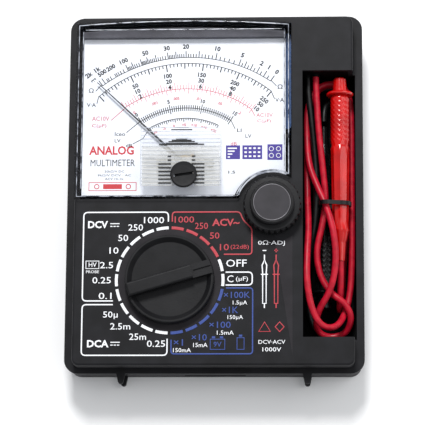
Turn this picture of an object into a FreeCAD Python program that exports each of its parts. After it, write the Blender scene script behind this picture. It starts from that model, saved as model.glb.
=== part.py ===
"""Pocket analog multimeter with a lead bay.

Frame: millimetres. The back of the case lies on z = 0, +Z points out of the front face,
+Y towards the meter's top edge and +X towards the lead bay. The origin is the middle of the
case outline, on the back face.
"""
import FreeCAD, Part
import math
import os

V = FreeCAD.Vector

# ---- case ------------------------------------------------------------------------------------
CASE_W = 129.0              # outline of the flange, across
CASE_L = 159.0              # outline of the flange, along
CASE_CORNER = 6.0           # flange corner radius
FLANGE_THICK = 1.5
REAR_DEPTH = 17.0           # back face to parting line
REAR_INSET = 1.0            # rear case wall stands this far inside the flange edge
REAR_WALL = 2.0
REAR_FLOOR = 2.0
PLATEAU_RISE = 8.5          # raised front above the flange
PLATEAU_LEFT = 4.0          # ledge beside the raised front
PLATEAU_RIGHT = 4.3
PLATEAU_ENDS = 2.3
PLATEAU_CORNER = 3.0
FRONT_WALL = 2.0
JOINT_GAP = 0.05            # between pieces that rest on each other across a moulding tolerance

# ---- lead bay --------------------------------------------------------------------------------
BAY_W = 23.0
BAY_RIM = 3.3               # ledge left standing outside the bay
BAY_FROM_TOP = 27.0
BAY_FROM_BOTTOM = 14.5
BAY_WALL = 1.3

# ---- meter window and dial -------------------------------------------------------------------
WINDOW_W = 94.0
WINDOW_H = 78.6             # at the corners, the middle of the top edge is arched
WINDOW_ARCH = 1.8
WINDOW_FROM_LEFT = 3.9
WINDOW_FROM_TOP = 5.5
WINDOW_PROUD = 2.5
WINDOW_SHEET = 1.5
DIAL_DEPTH = 5.0            # dial face below the raised front
DIAL_THICK = 0.8
DIAL_MARGIN = 2.6           # dial edge inside the window edge
PIVOT_BESIDE = 0.7          # pointer's pivot, right of the window's middle
PIVOT_FROM_BOTTOM = 16.5
POINTER_CLEAR = 8.8         # resting tip, in from the window's left edge
POINTER_REST = 46.7         # degrees left of straight up
POINTER_SWING = 93.4

# ---- controls --------------------------------------------------------------------------------
RANGE_FROM_LEFT = 45.7      # knob's axis, from the case's left and bottom edges
RANGE_FROM_BOTTOM = 39.1
RANGE_R = 19.3
RANGE_HEIGHT = 6.6
RANGE_SHAFT_R = 4.0
RANGE_POINTS_TO = 16.36     # degrees above +X, the OFF mark
RUNNING_GAP = 0.05          # radial, shafts in bores
FACE_GAP = 0.3              # knob faces off the panel
OHM_FROM_RIGHT = 8.2        # knob's axis, in from the window's right edge and below it
OHM_BELOW = 3.8
OHM_R = 12.4
OHM_HEIGHT = 9.4
OHM_SHAFT_R = 3.0
CORRECTOR_BESIDE = 0.2      # screw's axis, left of the pivot and below it
CORRECTOR_BELOW = 6.4
CORRECTOR_R = 5.8
CORRECTOR_STEM_R = 4.0

# ---- inside ----------------------------------------------------------------------------------
BOARD_THICK = 1.6
BOARD_Z = 13.0              # underside of the circuit board
AA_R = 7.1
AA_LENGTH = 49.2
NINE_W, NINE_L, NINE_H = 26.2, 47.5, 16.4
SCREW_R = 1.5
SCREW_HEAD_R = 2.9
CORE_R = 7.0
MAGNET_OUT_R = 17.0
MAGNET_IN_R = 10.2

# ---- probes and leads ------------------------------------------------------------------------
LEAD_R = 1.4
PROBE_R = 4.15
COLLAR_R = 5.9
COLLAR_THICK = 2.0
SLEEVE_R = 3.0
GRIP_LENGTH = 22.0
BARREL_LENGTH = 40.0
TAPER_LENGTH = 12.0
SLEEVE_LENGTH = 6.5
RED_COLLAR = (6.7, 9.5, 6.9)        # in from the bay's right wall and top wall, below the panel
BLACK_COLLAR = (9.3, 22.0, 6.8)     # in from the bay's left and bottom walls, above its floor
GLAND_R = 1.85
GLAND_STANDS = 1.1          # how far a gland stands out of the bay's top wall
RED_EXIT = (44.0, 19.4)     # x and z where each lead comes through that wall
BLACK_EXIT = (40.6, 17.6)

# ---- worked out ------------------------------------------------------------------------------
FLANGE_Z = REAR_DEPTH
LEDGE_Z = REAR_DEPTH + FLANGE_THICK
PANEL_Z = LEDGE_Z + PLATEAU_RISE
GLASS_Z = PANEL_Z + WINDOW_PROUD
DIAL_Z = PANEL_Z - DIAL_DEPTH
BAY_RIGHT = CASE_W / 2 - BAY_RIM
BAY_LEFT = BAY_RIGHT - BAY_W
BAY_TOP = CASE_L / 2 - BAY_FROM_TOP
BAY_BOTTOM = -CASE_L / 2 + BAY_FROM_BOTTOM
BAY_FLOOR = REAR_FLOOR + JOINT_GAP + BAY_WALL
WINDOW_LEFT = -CASE_W / 2 + WINDOW_FROM_LEFT
WINDOW_RIGHT = WINDOW_LEFT + WINDOW_W
WINDOW_TOP = CASE_L / 2 - WINDOW_FROM_TOP
WINDOW_BOTTOM = WINDOW_TOP - WINDOW_H
PIVOT_X = (WINDOW_LEFT + WINDOW_RIGHT) / 2 + PIVOT_BESIDE
PIVOT_Y = WINDOW_BOTTOM + PIVOT_FROM_BOTTOM
POINTER_LENGTH = (PIVOT_X - WINDOW_LEFT - POINTER_CLEAR) / math.sin(math.radians(POINTER_REST))
CORRECTOR_X = PIVOT_X - CORRECTOR_BESIDE
CORRECTOR_Y = PIVOT_Y - CORRECTOR_BELOW
RANGE_X = -CASE_W / 2 + RANGE_FROM_LEFT
RANGE_Y = -CASE_L / 2 + RANGE_FROM_BOTTOM
OHM_X = WINDOW_RIGHT - OHM_FROM_RIGHT
OHM_Y = WINDOW_BOTTOM - OHM_BELOW
RED_PROBE = (BAY_RIGHT - RED_COLLAR[0], BAY_TOP - RED_COLLAR[1], PANEL_Z - RED_COLLAR[2])
BLACK_PROBE = (
    BAY_LEFT + BLACK_COLLAR[0], BAY_BOTTOM + BLACK_COLLAR[1], BAY_FLOOR + BLACK_COLLAR[2]
)
PLATEAU_X0 = -CASE_W / 2 + PLATEAU_LEFT
PLATEAU_X1 = CASE_W / 2 - PLATEAU_RIGHT
PLATEAU_Y0 = -CASE_L / 2 + PLATEAU_ENDS
PLATEAU_Y1 = CASE_L / 2 - PLATEAU_ENDS
INNER_X0 = -CASE_W / 2 + REAR_INSET + REAR_WALL
INNER_Y0 = -CASE_L / 2 + REAR_INSET + REAR_WALL
INNER_Y1 = -INNER_Y0
BOARD_TOP = BOARD_Z + BOARD_THICK

os.makedirs("parts", exist_ok=True)


def save(name, *shapes):
    """Write one node's STEP file, from one solid or a group of separate solids."""
    solids = [s for shape in shapes for s in shape.Solids]
    shape = solids[0] if len(solids) == 1 else Part.makeCompound(solids)
    shape.exportStep("parts/%s.step" % name)


def box(x0, x1, y0, y1, z0, z1):
    return Part.makeBox(x1 - x0, y1 - y0, z1 - z0, V(x0, y0, z0))


def rounded_box(x0, x1, y0, y1, z0, z1, radius):
    """A plate with its four upright edges rounded."""
    body = box(x0, x1, y0, y1, z0, z1)
    upright = [e for e in body.Edges if abs(e.Vertexes[0].Z - e.Vertexes[-1].Z) > 1e-6]
    return body.makeFillet(radius, upright)


def post(x, y, z0, z1, radius):
    return Part.makeCylinder(radius, z1 - z0, V(x, y, z0))


def ring(x, y, z0, z1, outer, inner):
    return post(x, y, z0, z1, outer).cut(post(x, y, z0 - 1, z1 + 1, inner))


def lathe(points, x, y):
    """Turn a closed outline of (radius, z) points about an upright axis at x, y."""
    wire = Part.makePolygon([V(x + r, y, z) for r, z in points + points[:1]])
    return Part.Face(wire).revolve(V(x, y, 0), V(0, 0, 1), 360)


def lathe_along_y(points, x, z):
    """Turn a closed outline of (radius, y) points about an axis along Y at x, z."""
    wire = Part.makePolygon([V(x + r, y, z) for r, y in points + points[:1]])
    return Part.Face(wire).revolve(V(x, 0, z), V(0, 1, 0), 360)


def turned(shape, x, y, degrees):
    copy = shape.copy()
    copy.rotate(V(x, y, 0), V(0, 0, 1), degrees)
    return copy


def round_top(shape, z, radius):
    """Round the edges that lie in the plane at height z."""
    edges = [e for e in shape.Edges if all(abs(v.Z - z) < 1e-4 for v in e.Vertexes)]
    return shape.makeFillet(radius, edges)


# ---- case pieces -----------------------------------------------------------------------------
CASE_SCREWS = [
    (INNER_X0 + 4.5, INNER_Y0 + 4.5),
    (WINDOW_LEFT + 6.1, WINDOW_TOP - 5.8),
    (BAY_LEFT - 6.5, INNER_Y0 + 4.5),
    (BAY_RIGHT - 5.0, INNER_Y1 - 6.0),
]
UNDER_DIAL = 1              # this screw ends in a short boss below the dial
BOSS_R = 3.6
TONGUE_X = 40.0
TONGUE_REACH = 4.4
TONGUE_ROOT = 4.2
TONGUE_TIP = 2.4
SLOT_W = 26.5


def tongue(x, y, z0, z1):
    """A short tapered catch with a round end, standing out of the bottom edge."""
    tip = TONGUE_TIP / 2
    end = y - TONGUE_REACH
    side_r = Part.LineSegment(V(x + TONGUE_ROOT / 2, y + 1, z0), V(x + tip, end + tip, z0))
    nose = Part.Arc(V(x + tip, end + tip, z0), V(x, end, z0), V(x - tip, end + tip, z0))
    side_l = Part.LineSegment(V(x - tip, end + tip, z0), V(x - TONGUE_ROOT / 2, y + 1, z0))
    root = Part.LineSegment(V(x - TONGUE_ROOT / 2, y + 1, z0), V(x + TONGUE_ROOT / 2, y + 1, z0))
    wire = Part.Wire([c.toShape() for c in (side_r, nose, side_l, root)])
    return Part.Face(wire).extrude(V(0, 0, z1 - z0))


def window_outline(inset, z0, z1):
    """The window's plan: arched top edge, and a bite round the zero-ohm knob."""
    x0, x1 = WINDOW_LEFT + inset, WINDOW_RIGHT - inset
    y0, y1 = WINDOW_BOTTOM + inset, WINDOW_TOP - inset
    lines = [
        Part.LineSegment(V(x0, y1, z0), V(x0, y0, z0)),
        Part.LineSegment(V(x0, y0, z0), V(x1, y0, z0)),
        Part.LineSegment(V(x1, y0, z0), V(x1, y1, z0)),
        Part.Arc(V(x1, y1, z0), V((x0 + x1) / 2, y1 + WINDOW_ARCH, z0), V(x0, y1, z0)),
    ]
    plan = Part.Face(Part.Wire([c.toShape() for c in lines])).extrude(V(0, 0, z1 - z0))
    return plan.cut(post(OHM_X, OHM_Y, z0 - 1, z1 + 1, OHM_R + 2.7 + inset))


def screw_tip(index):
    """Height of the end of one case screw."""
    return DIAL_Z - DIAL_THICK - 1.5 if index == UNDER_DIAL else PANEL_Z - FRONT_WALL - 3.0


def front_case():
    half_w, half_l = CASE_W / 2, CASE_L / 2
    flange = rounded_box(-half_w, half_w, -half_l, half_l, FLANGE_Z, LEDGE_Z, CASE_CORNER)
    raised = rounded_box(
        PLATEAU_X0, PLATEAU_X1, PLATEAU_Y0, PLATEAU_Y1, FLANGE_Z, PANEL_Z, PLATEAU_CORNER
    )
    raised = round_top(raised, PANEL_Z, 1.0)
    hollow = box(
        PLATEAU_X0 + FRONT_WALL, PLATEAU_X1 - FRONT_WALL,
        PLATEAU_Y0 + FRONT_WALL, PLATEAU_Y1 - FRONT_WALL,
        FLANGE_Z - 1, PANEL_Z - FRONT_WALL,
    )
    shell = flange.fuse(raised).cut(hollow)
    for x in (-TONGUE_X, TONGUE_X):
        shell = shell.fuse(tongue(x, -half_l, FLANGE_Z, LEDGE_Z))
    for x, y in CASE_SCREWS:
        shell = shell.fuse(post(x, y, FLANGE_Z, PANEL_Z - FRONT_WALL + 0.5, BOSS_R))
    x, y = CASE_SCREWS[UNDER_DIAL]
    shell = shell.cut(post(x, y, DIAL_Z - DIAL_THICK - JOINT_GAP, PANEL_Z, BOSS_R + 0.1))
    shell = shell.fuse(box(PLATEAU_X0, x, y - 2, y + 2, FLANGE_Z, LEDGE_Z))
    shell = shell.cut(box(BAY_LEFT, BAY_RIGHT, BAY_BOTTOM, BAY_TOP, FLANGE_Z - 1, PANEL_Z + 1))
    shell = shell.cut(window_outline(-JOINT_GAP, DIAL_Z - DIAL_THICK, PANEL_Z + 1))
    window_wall = window_outline(-JOINT_GAP, LEDGE_Z, PANEL_Z)
    window_wall = window_wall.cut(window_outline(WINDOW_SHEET + JOINT_GAP, LEDGE_Z, PANEL_Z))
    shell = shell.cut(window_wall)
    for index, (x, y) in enumerate(CASE_SCREWS):
        shell = shell.cut(post(x, y, FLANGE_Z - 1, screw_tip(index) + 0.5, SCREW_R - 0.1))
    shell = shell.cut(post(RANGE_X, RANGE_Y, 0, PANEL_Z + 1, RANGE_SHAFT_R + RUNNING_GAP))
    shell = shell.cut(post(OHM_X, OHM_Y, 0, PANEL_Z + 1, OHM_SHAFT_R + RUNNING_GAP))
    for groove_r in (RANGE_R + 1.1, RANGE_R + 2.0):
        groove = ring(RANGE_X, RANGE_Y, PANEL_Z - 0.25, PANEL_Z + 1, groove_r + 0.2, groove_r - 0.2)
        shell = shell.cut(groove)
    return shell.removeSplitter()


def rear_case():
    half_w = CASE_W / 2 - REAR_INSET
    half_l = CASE_L / 2 - REAR_INSET
    outer = rounded_box(-half_w, half_w, -half_l, half_l, 0, REAR_DEPTH, CASE_CORNER - REAR_INSET)
    outer = round_top(outer, 0, 0.8)
    inner = rounded_box(
        -half_w + REAR_WALL, half_w - REAR_WALL, -half_l + REAR_WALL, half_l - REAR_WALL,
        REAR_FLOOR, REAR_DEPTH + 1, CASE_CORNER - REAR_INSET - REAR_WALL,
    )
    shell = outer.cut(inner)
    for x, y in CASE_SCREWS:
        shell = shell.fuse(post(x, y, REAR_FLOOR - 0.5, FLANGE_Z - JOINT_GAP, BOSS_R))
    for x, y in BOARD_SCREWS:
        shell = shell.fuse(post(x, y, REAR_FLOOR - 0.5, BOARD_Z, 2.6))
    for x in (-TONGUE_X, TONGUE_X):
        shell = shell.fuse(tongue(x, -half_l, 2.0, 4.6))
    for x, y in CASE_SCREWS:
        shell = shell.cut(post(x, y, -1, FLANGE_Z + 1, SCREW_R + 0.2))
        shell = shell.cut(post(x, y, -1, 3.4, SCREW_HEAD_R + 0.2))
    for x, y in BOARD_SCREWS:
        shell = shell.cut(post(x, y, 6.0, FLANGE_Z, SCREW_R - 0.3))
    shell = shell.cut(box(-SLOT_W / 2, SLOT_W / 2, -half_l - 1, -half_l + 1.2, 4.4, 6.4))
    shell = shell.cut(box(COVER_X0, COVER_X1, COVER_Y0, COVER_Y1, -1, REAR_FLOOR + 1))
    return shell.removeSplitter()


def battery_cover():
    """The door of the battery bay, flush with the back face."""
    gap = 0.2
    door = rounded_box(
        COVER_X0 + gap, COVER_X1 - gap, COVER_Y0 + gap, COVER_Y1 - gap, 0, REAR_FLOOR, 1.0
    )
    grip_x = (COVER_X0 + COVER_X1) / 2
    for step in range(5):
        y = COVER_Y0 + 4 + 1.6 * step
        door = door.cut(box(grip_x - 7, grip_x + 7, y, y + 0.8, -1, 0.5))
    return door


def lead_bay():
    """An open tray for the leads, under the front case."""
    x0, x1 = BAY_LEFT - BAY_WALL, BAY_RIGHT
    y0, y1 = BAY_BOTTOM - BAY_WALL, BAY_TOP + BAY_WALL
    floor_z = REAR_FLOOR + JOINT_GAP
    low = box(x0, x1 + 0.25, y0, y1, floor_z, FLANGE_Z - JOINT_GAP)
    high = box(
        x0, PLATEAU_X1 - FRONT_WALL - JOINT_GAP, y0, y1, floor_z, PANEL_Z - FRONT_WALL - JOINT_GAP
    )
    tray = low.fuse(high)
    tray = tray.cut(box(BAY_LEFT, BAY_RIGHT, BAY_BOTTOM, BAY_TOP, BAY_FLOOR, PANEL_Z))
    for x, z in (RED_EXIT, BLACK_EXIT):
        hole = Part.makeCylinder(GLAND_R, 20, V(x, BAY_TOP - 1, z), V(0, 1, 0))
        tray = tray.cut(hole)
    return tray.removeSplitter()


# ---- leads: routes from gland to probe, hand-chosen points (x, y, z) ---------------------------
RED_ROUTE = [
    (44.0, 51.4, 19.4), (44.3, 42.0, 19.4), (45.2, 27.0, 19.6), (47.0, 10.0, 19.2),
    (48.4, -4.0, 18.2), (46.6, -15.0, 18.8), (43.8, -26.5, 18.6), (45.4, -37.0, 18.2),
    (50.2, -45.0, 18.8), (56.0, -48.8, 19.6), (59.4, -54.8, 17.3), (57.0, -61.4, 12.6),
    (49.4, -63.2, 11.4), (43.4, -60.2, 13.8), (44.4, -52.6, 19.0), (50.0, -44.6, 22.6),
    (52.6, -33.0, 23.8), (51.8, -20.0, 25.2), (48.6, -7.6, 23.6), (44.2, 2.6, 21.0),
    (40.6, 13.0, 17.8), (40.0, 28.0, 14.6), (40.3, 40.0, 14.2), (44.4, 48.4, 14.2),
    (52.0, 50.4, 14.0), (58.2, 46.8, 13.9), (59.6, 36.8, 13.9), (59.5, 14.0, 14.2),
    (59.6, -12.0, 14.2), (59.4, -32.0, 14.2), (58.6, -44.0, 13.8), (56.3, -53.4, 14.9),
    (52.4, -60.2, 20.8), (46.2, -60.4, 24.4), (42.0, -53.4, 25.8), (39.9, -42.0, 27.0),
    (40.0, -29.0, 24.8), (40.8, -15.6, 20.0), (40.2, -2.0, 14.6), (40.1, 14.0, 11.2),
    (40.0, 30.0, 11.1), (41.0, 41.6, 11.1), (46.2, 49.8, 11.0), (54.4, 50.2, 11.0),
    (59.2, 43.4, 11.0), (59.5, 28.0, 11.1), (59.6, 5.0, 11.1), (58.3, -11.0, 11.4),
    (56.4, -24.0, 8.8), (55.4, -37.0, 5.4), (54.8, -47.4, 5.4), (53.9, -51.8, 10.6),
    (54.1, -46.6, 15.8), (54.6, -39.0, 18.8), (54.5, -31.0, 20.1),
]
BLACK_ROUTE = [
    (40.6, 51.4, 17.6), (40.8, 44.0, 17.6), (42.0, 34.0, 17.6), (43.4, 20.0, 16.6),
    (44.4, 4.0, 16.2), (44.0, -10.0, 16.0), (42.2, -21.0, 15.0), (40.2, -30.0, 11.2),
    (40.0, -40.0, 8.0), (40.6, -54.0, 7.9), (45.6, -62.0, 8.0), (54.0, -62.4, 8.1),
    (59.1, -56.0, 8.1), (59.6, -42.0, 8.0), (59.5, -20.0, 8.0), (59.6, 4.0, 8.0),
    (59.5, 28.0, 8.1), (59.2, 42.6, 7.8), (54.4, 49.9, 7.0), (46.0, 50.0, 6.0),
    (40.8, 42.6, 5.2), (40.1, 28.0, 4.9), (40.2, 4.0, 4.9), (40.1, -20.0, 4.9),
    (40.0, -42.0, 4.9), (40.7, -54.6, 4.9), (46.0, -62.2, 4.9), (54.0, -62.4, 4.9),
    (59.2, -55.6, 4.9), (59.6, -42.0, 4.9), (59.5, -20.0, 4.9), (59.6, 4.0, 4.9),
    (59.5, 24.0, 4.9), (59.3, 36.6, 4.9), (55.4, 43.2, 5.0), (50.0, 43.8, 7.2),
    (47.5, 39.8, 9.8), (47.5, 33.5, 10.15),
]


def lead(name, route):
    """A round lead: straight runs joined by tangent arcs. Prints its length and bend radii."""
    points = [V(*p) for p in route]
    edges = []
    start = points[0]
    radii = []
    for before, corner, after in zip(points, points[1:], points[2:]):
        run_in, run_out = corner - before, after - corner
        reach = 0.45 * min(run_in.Length, run_out.Length)
        half_turn = run_in.getAngle(run_out) / 2
        radius = reach / math.tan(half_turn)
        radii.append(radius)
        unit_in, unit_out = V(run_in).normalize(), V(run_out).normalize()
        first, last = corner - unit_in * reach, corner + unit_out * reach
        inward = (unit_out - unit_in).normalize()
        middle = corner + inward * (radius / math.cos(half_turn) - radius)
        edges.append(Part.LineSegment(start, first).toShape())
        edges.append(Part.Arc(first, middle, last).toShape())
        start = last
    edges.append(Part.LineSegment(start, points[-1]).toShape())
    spine = Part.Wire(edges)
    heading = points[1] - points[0]
    section = Part.Wire([Part.makeCircle(LEAD_R, points[0], heading)])
    tube = spine.makePipeShell([section], True, False)
    expected = math.pi * LEAD_R ** 2 * spine.Length
    print("%s: length %.1f, volume ratio %.4f" % (name, spine.Length, tube.Volume / expected))
    print("   radii", " ".join("%.1f" % r for r in radii))
    save(name, tube)


def case_screws():
    screws = []
    for index, (x, y) in enumerate(CASE_SCREWS):
        head = post(x, y, 0.6, 3.3, SCREW_HEAD_R)
        recess = box(x - 2, x + 2, y - 0.4, y + 0.4, 0, 1.8)
        recess = recess.fuse(box(x - 0.4, x + 0.4, y - 2, y + 2, 0, 1.8))
        stem = post(x, y, 3.0, screw_tip(index), SCREW_R - 0.15)
        screws.append(head.fuse(stem).cut(recess))
    return screws


# ---- range switch ----------------------------------------------------------------------------
ROTOR_R = 15.5
ROTOR_Z = BOARD_TOP + 1.8
ROTOR_THICK = 2.4
DETENT_POSITIONS = 22
TRACK_RADII = (8.0, 10.5, 13.0)


def range_knob():
    """Dished disc with a grip bar right across it, on its shaft."""
    z0 = PANEL_Z + FACE_GAP
    rim_z = z0 + 4.0
    top_z = z0 + RANGE_HEIGHT
    outline = [
        (0, z0), (RANGE_R - 0.3, z0), (RANGE_R, z0 + 0.4), (RANGE_R - 0.35, rim_z - 0.2),
        (RANGE_R - 0.6, rim_z), (RANGE_R - 1.3, rim_z), (RANGE_R - 3.2, z0 + 2.0), (0, z0 + 1.6),
    ]
    dish = lathe(outline, RANGE_X, RANGE_Y)
    length = RANGE_R - 0.7
    bar = box(RANGE_X - length, RANGE_X + length, RANGE_Y - 3.0, RANGE_Y + 3.0, z0 + 1.0, top_z)
    bar = round_top(bar, top_z, 0.9)
    bar = bar.common(post(RANGE_X, RANGE_Y, z0, top_z, RANGE_R - 0.6))
    pointer = box(
        RANGE_X + 10.0, RANGE_X + RANGE_R - 0.6, RANGE_Y - 3.1, RANGE_Y + 3.1, top_z - 1.6, top_z + 1
    )
    bar = bar.cut(pointer)
    mark = box(
        RANGE_X + 10.8, RANGE_X + RANGE_R, RANGE_Y - 0.45, RANGE_Y + 0.45, top_z - 2.2, top_z
    )
    knob = dish.fuse(bar).cut(mark)
    shaft = post(RANGE_X, RANGE_Y, ROTOR_Z + 0.2, z0 + 1, RANGE_SHAFT_R)
    return turned(knob.fuse(shaft), RANGE_X, RANGE_Y, RANGE_POINTS_TO)


def switch_rotor():
    disc = post(RANGE_X, RANGE_Y, ROTOR_Z, ROTOR_Z + ROTOR_THICK, ROTOR_R)
    disc = disc.cut(post(RANGE_X, RANGE_Y, ROTOR_Z + 0.2, ROTOR_Z + 5, RANGE_SHAFT_R))
    disc = disc.cut(post(RANGE_X + 12, RANGE_Y, ROTOR_Z + 0.9, ROTOR_Z + 5, 1.7))
    return disc


def switch_brushes():
    """Leaf contacts under the rotor, just off the board's tracks."""
    leaves = []
    for radius in TRACK_RADII:
        foot = box(-radius - 0.9, -radius + 0.9, -2.2, 2.2, ROTOR_Z - 0.4, ROTOR_Z)
        leaf = box(-radius - 0.6, -radius + 0.6, 0.6, 2.2, ROTOR_Z - 1.2, ROTOR_Z - 0.4)
        both = foot.fuse(leaf)
        both.translate(V(RANGE_X, RANGE_Y, 0))
        leaves.append(both)
    return leaves


def switch_tracks():
    """Contact arcs on the board, one pad for each switch position on the outer ring."""
    pads = []
    for radius in TRACK_RADII[:2]:
        pads.append(ring(RANGE_X, RANGE_Y, BOARD_TOP, BOARD_TOP + 0.15, radius + 0.8, radius - 0.8))
    for step in range(DETENT_POSITIONS):
        pad = box(TRACK_RADII[2] - 0.9, TRACK_RADII[2] + 0.9, -1.2, 1.2, BOARD_TOP, BOARD_TOP + 0.15)
        pad.translate(V(RANGE_X, RANGE_Y, 0))
        pads.append(turned(pad, RANGE_X, RANGE_Y, step * 360.0 / DETENT_POSITIONS))
    return pads


def detent_ring():
    """Ring under the front panel with one dimple for each switch position."""
    z0 = ROTOR_Z + ROTOR_THICK + 1.7
    body = ring(RANGE_X, RANGE_Y, z0, PANEL_Z - FRONT_WALL, ROTOR_R, RANGE_SHAFT_R + 4)
    for step in range(DETENT_POSITIONS):
        turn = math.radians(step * 360.0 / DETENT_POSITIONS)
        dimple = Part.makeSphere(
            1.2, V(RANGE_X + 12 * math.cos(turn), RANGE_Y + 12 * math.sin(turn), z0)
        )
        body = body.cut(dimple)
    return body


def detent_ball():
    z0 = ROTOR_Z + ROTOR_THICK + 1.7
    return Part.makeSphere(1.5, V(RANGE_X + 12, RANGE_Y, z0 - 1.6))


# ---- zero-ohm control ------------------------------------------------------------------------
POT_R = 8.0
POT_H = 5.5
FLUTES = 30


def zero_ohm_knob():
    z0 = PANEL_Z + FACE_GAP
    skirt_z = z0 + 6.4
    top_z = z0 + OHM_HEIGHT
    outline = [
        (0, z0), (OHM_R - 0.4, z0), (OHM_R, z0 + 0.4), (OHM_R, skirt_z - 0.8),
        (OHM_R - 0.8, skirt_z), (9.6, skirt_z + 0.2), (9.4, top_z - 0.5), (8.9, top_z),
        (8.2, top_z), (8.0, top_z - 0.35), (0, top_z - 0.35),
    ]
    knob = lathe(outline, OHM_X, OHM_Y)
    for step in range(FLUTES):
        turn = math.radians(step * 360.0 / FLUTES)
        x, y = OHM_X + OHM_R * math.cos(turn), OHM_Y + OHM_R * math.sin(turn)
        knob = knob.cut(post(x, y, z0 - 1, skirt_z + 1, 0.62))
    return knob.fuse(post(OHM_X, OHM_Y, BOARD_TOP + 2.0, z0 + 1, OHM_SHAFT_R))


def zero_ohm_pot():
    body = post(OHM_X, OHM_Y, BOARD_TOP, BOARD_TOP + POT_H, POT_R)
    return body.cut(post(OHM_X, OHM_Y, BOARD_TOP + 1.9, PANEL_Z, OHM_SHAFT_R + RUNNING_GAP))


# ---- window, dial and movement ---------------------------------------------------------------
FRAME_Z = 4.0
CORE_Z0, CORE_Z1 = 8.8, 17.6
STAFF_R = 0.8
POINTER_Z = DIAL_Z + 1.5
STRAP_Z = POINTER_Z + 2.0
POST_SPAN = 11.0
FRAME_POSTS = ((-19.5, -3.0), (19.5, -3.0), (-18.0, 12.0), (18.0, 12.0))


def meter_window():
    """Clear moulded cover: a top sheet with walls down to the ledge."""
    outer = window_outline(0, LEDGE_Z + JOINT_GAP, GLASS_Z)
    inner = window_outline(WINDOW_SHEET, LEDGE_Z - 1, GLASS_Z - WINDOW_SHEET)
    cover = outer.cut(inner)
    bore = CORRECTOR_STEM_R + RUNNING_GAP
    return cover.cut(post(CORRECTOR_X, CORRECTOR_Y, LEDGE_Z, GLASS_Z + 1, bore))


def scale_plate():
    plate = window_outline(DIAL_MARGIN, DIAL_Z - DIAL_THICK, DIAL_Z)
    plate = plate.cut(post(PIVOT_X, PIVOT_Y, 0, DIAL_Z + 1, 4.5))
    for side in (-1, 1):
        plate = plate.cut(post(PIVOT_X + side * POST_SPAN, PIVOT_Y, 0, DIAL_Z + 1, 1.7))
    return plate


def movement_frame():
    base = box(PIVOT_X - 20, PIVOT_X + 20, PIVOT_Y - 17, PIVOT_Y + 17, FRAME_Z, FRAME_Z + 2)
    for dx, dy in FRAME_POSTS:
        base = base.fuse(
            post(PIVOT_X + dx, PIVOT_Y + dy, REAR_FLOOR, DIAL_Z - DIAL_THICK, 2.2)
        )
    return base.fuse(post(PIVOT_X, PIVOT_Y, FRAME_Z + 1, FRAME_Z + 2.4, 2.5))


def movement_magnet():
    return ring(PIVOT_X, PIVOT_Y, FRAME_Z + 2, CORE_Z1 + 0.4, MAGNET_OUT_R, MAGNET_IN_R)


def movement_core():
    """Soft-iron core inside the coil, held to the magnet by two bridges clear of the swing."""
    core = post(PIVOT_X, PIVOT_Y, CORE_Z0, CORE_Z1, CORE_R)
    arm = box(-2.0, 2.0, -MAGNET_IN_R, MAGNET_IN_R, CORE_Z0 + 2, CORE_Z1 - 2)
    arm.translate(V(PIVOT_X, PIVOT_Y, 0))
    inside = post(PIVOT_X, PIVOT_Y, CORE_Z0, CORE_Z1, MAGNET_IN_R)
    core = core.fuse(arm.common(inside))
    return core.cut(post(PIVOT_X, PIVOT_Y, 0, 30, STAFF_R + 0.6))


def swung(shape, degrees):
    return turned(shape, PIVOT_X, PIVOT_Y, degrees)


def moving_coil():
    """Rectangular winding round the core; square to the pointer."""
    low, high = CORE_Z0 - 1.6, CORE_Z1 + 1.4
    outer = box(-9.4, 9.4, -2.0, 2.0, low, high)
    inner = box(-8.0, 8.0, -3.0, 3.0, low + 1.1, high - 1.1)
    coil = outer.cut(inner)
    coil.translate(V(PIVOT_X, PIVOT_Y, 0))
    coil = swung(coil, POINTER_REST)
    return coil.cut(post(PIVOT_X, PIVOT_Y, 0, 40, STAFF_R))


def coil_staff():
    return post(PIVOT_X, PIVOT_Y, FRAME_Z + 2.4 + JOINT_GAP, STRAP_Z - JOINT_GAP, STAFF_R)


def pointer():
    """Long thin hand with a hub, a tail and two side arms."""
    hub = post(PIVOT_X, PIVOT_Y, POINTER_Z - 0.6, POINTER_Z + 0.8, 2.2)
    blade = Part.makePolygon([
        V(-0.55, 0, POINTER_Z), V(0.55, 0, POINTER_Z), V(0.16, POINTER_LENGTH, POINTER_Z),
        V(-0.16, POINTER_LENGTH, POINTER_Z), V(-0.55, 0, POINTER_Z),
    ])
    hand = Part.Face(blade).extrude(V(0, 0, 0.45))
    tail = box(-0.5, 0.5, -7.5, 0, POINTER_Z, POINTER_Z + 0.45)
    arms = box(-5.6, 5.6, -0.4, 0.4, POINTER_Z, POINTER_Z + 0.45)
    hand = hand.fuse(tail).fuse(arms)
    hand.translate(V(PIVOT_X, PIVOT_Y, 0))
    hand = swung(hand.fuse(hub), POINTER_REST)
    return hand.cut(post(PIVOT_X, PIVOT_Y, 0, 40, STAFF_R))


def balance_weights():
    """Small collars on the tail and the side arms."""
    weights = []
    for dx, dy in ((0, -6.2), (-4.6, 0), (4.6, 0)):
        body = post(PIVOT_X + dx, PIVOT_Y + dy, POINTER_Z + 0.45, POINTER_Z + 1.4, 0.9)
        weights.append(swung(body, POINTER_REST))
    return weights


def hairspring():
    """Flat spiral spring over the hub, as a thin washer of its outer size."""
    return ring(PIVOT_X, PIVOT_Y, POINTER_Z + 1.0, POINTER_Z + 1.25, 3.4, STAFF_R)


def upper_bridge():
    """Strap that holds the top bearing, on two posts through the dial."""
    strap = box(-POST_SPAN - 1.5, POST_SPAN + 1.5, -1.5, 1.5, STRAP_Z, STRAP_Z + 1.0)
    strap.translate(V(PIVOT_X, PIVOT_Y, 0))
    for side in (-1, 1):
        x = PIVOT_X + side * POST_SPAN
        strap = strap.fuse(post(x, PIVOT_Y, CORE_Z1 + 0.4, STRAP_Z + 0.5, 1.2))
    return strap


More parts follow.
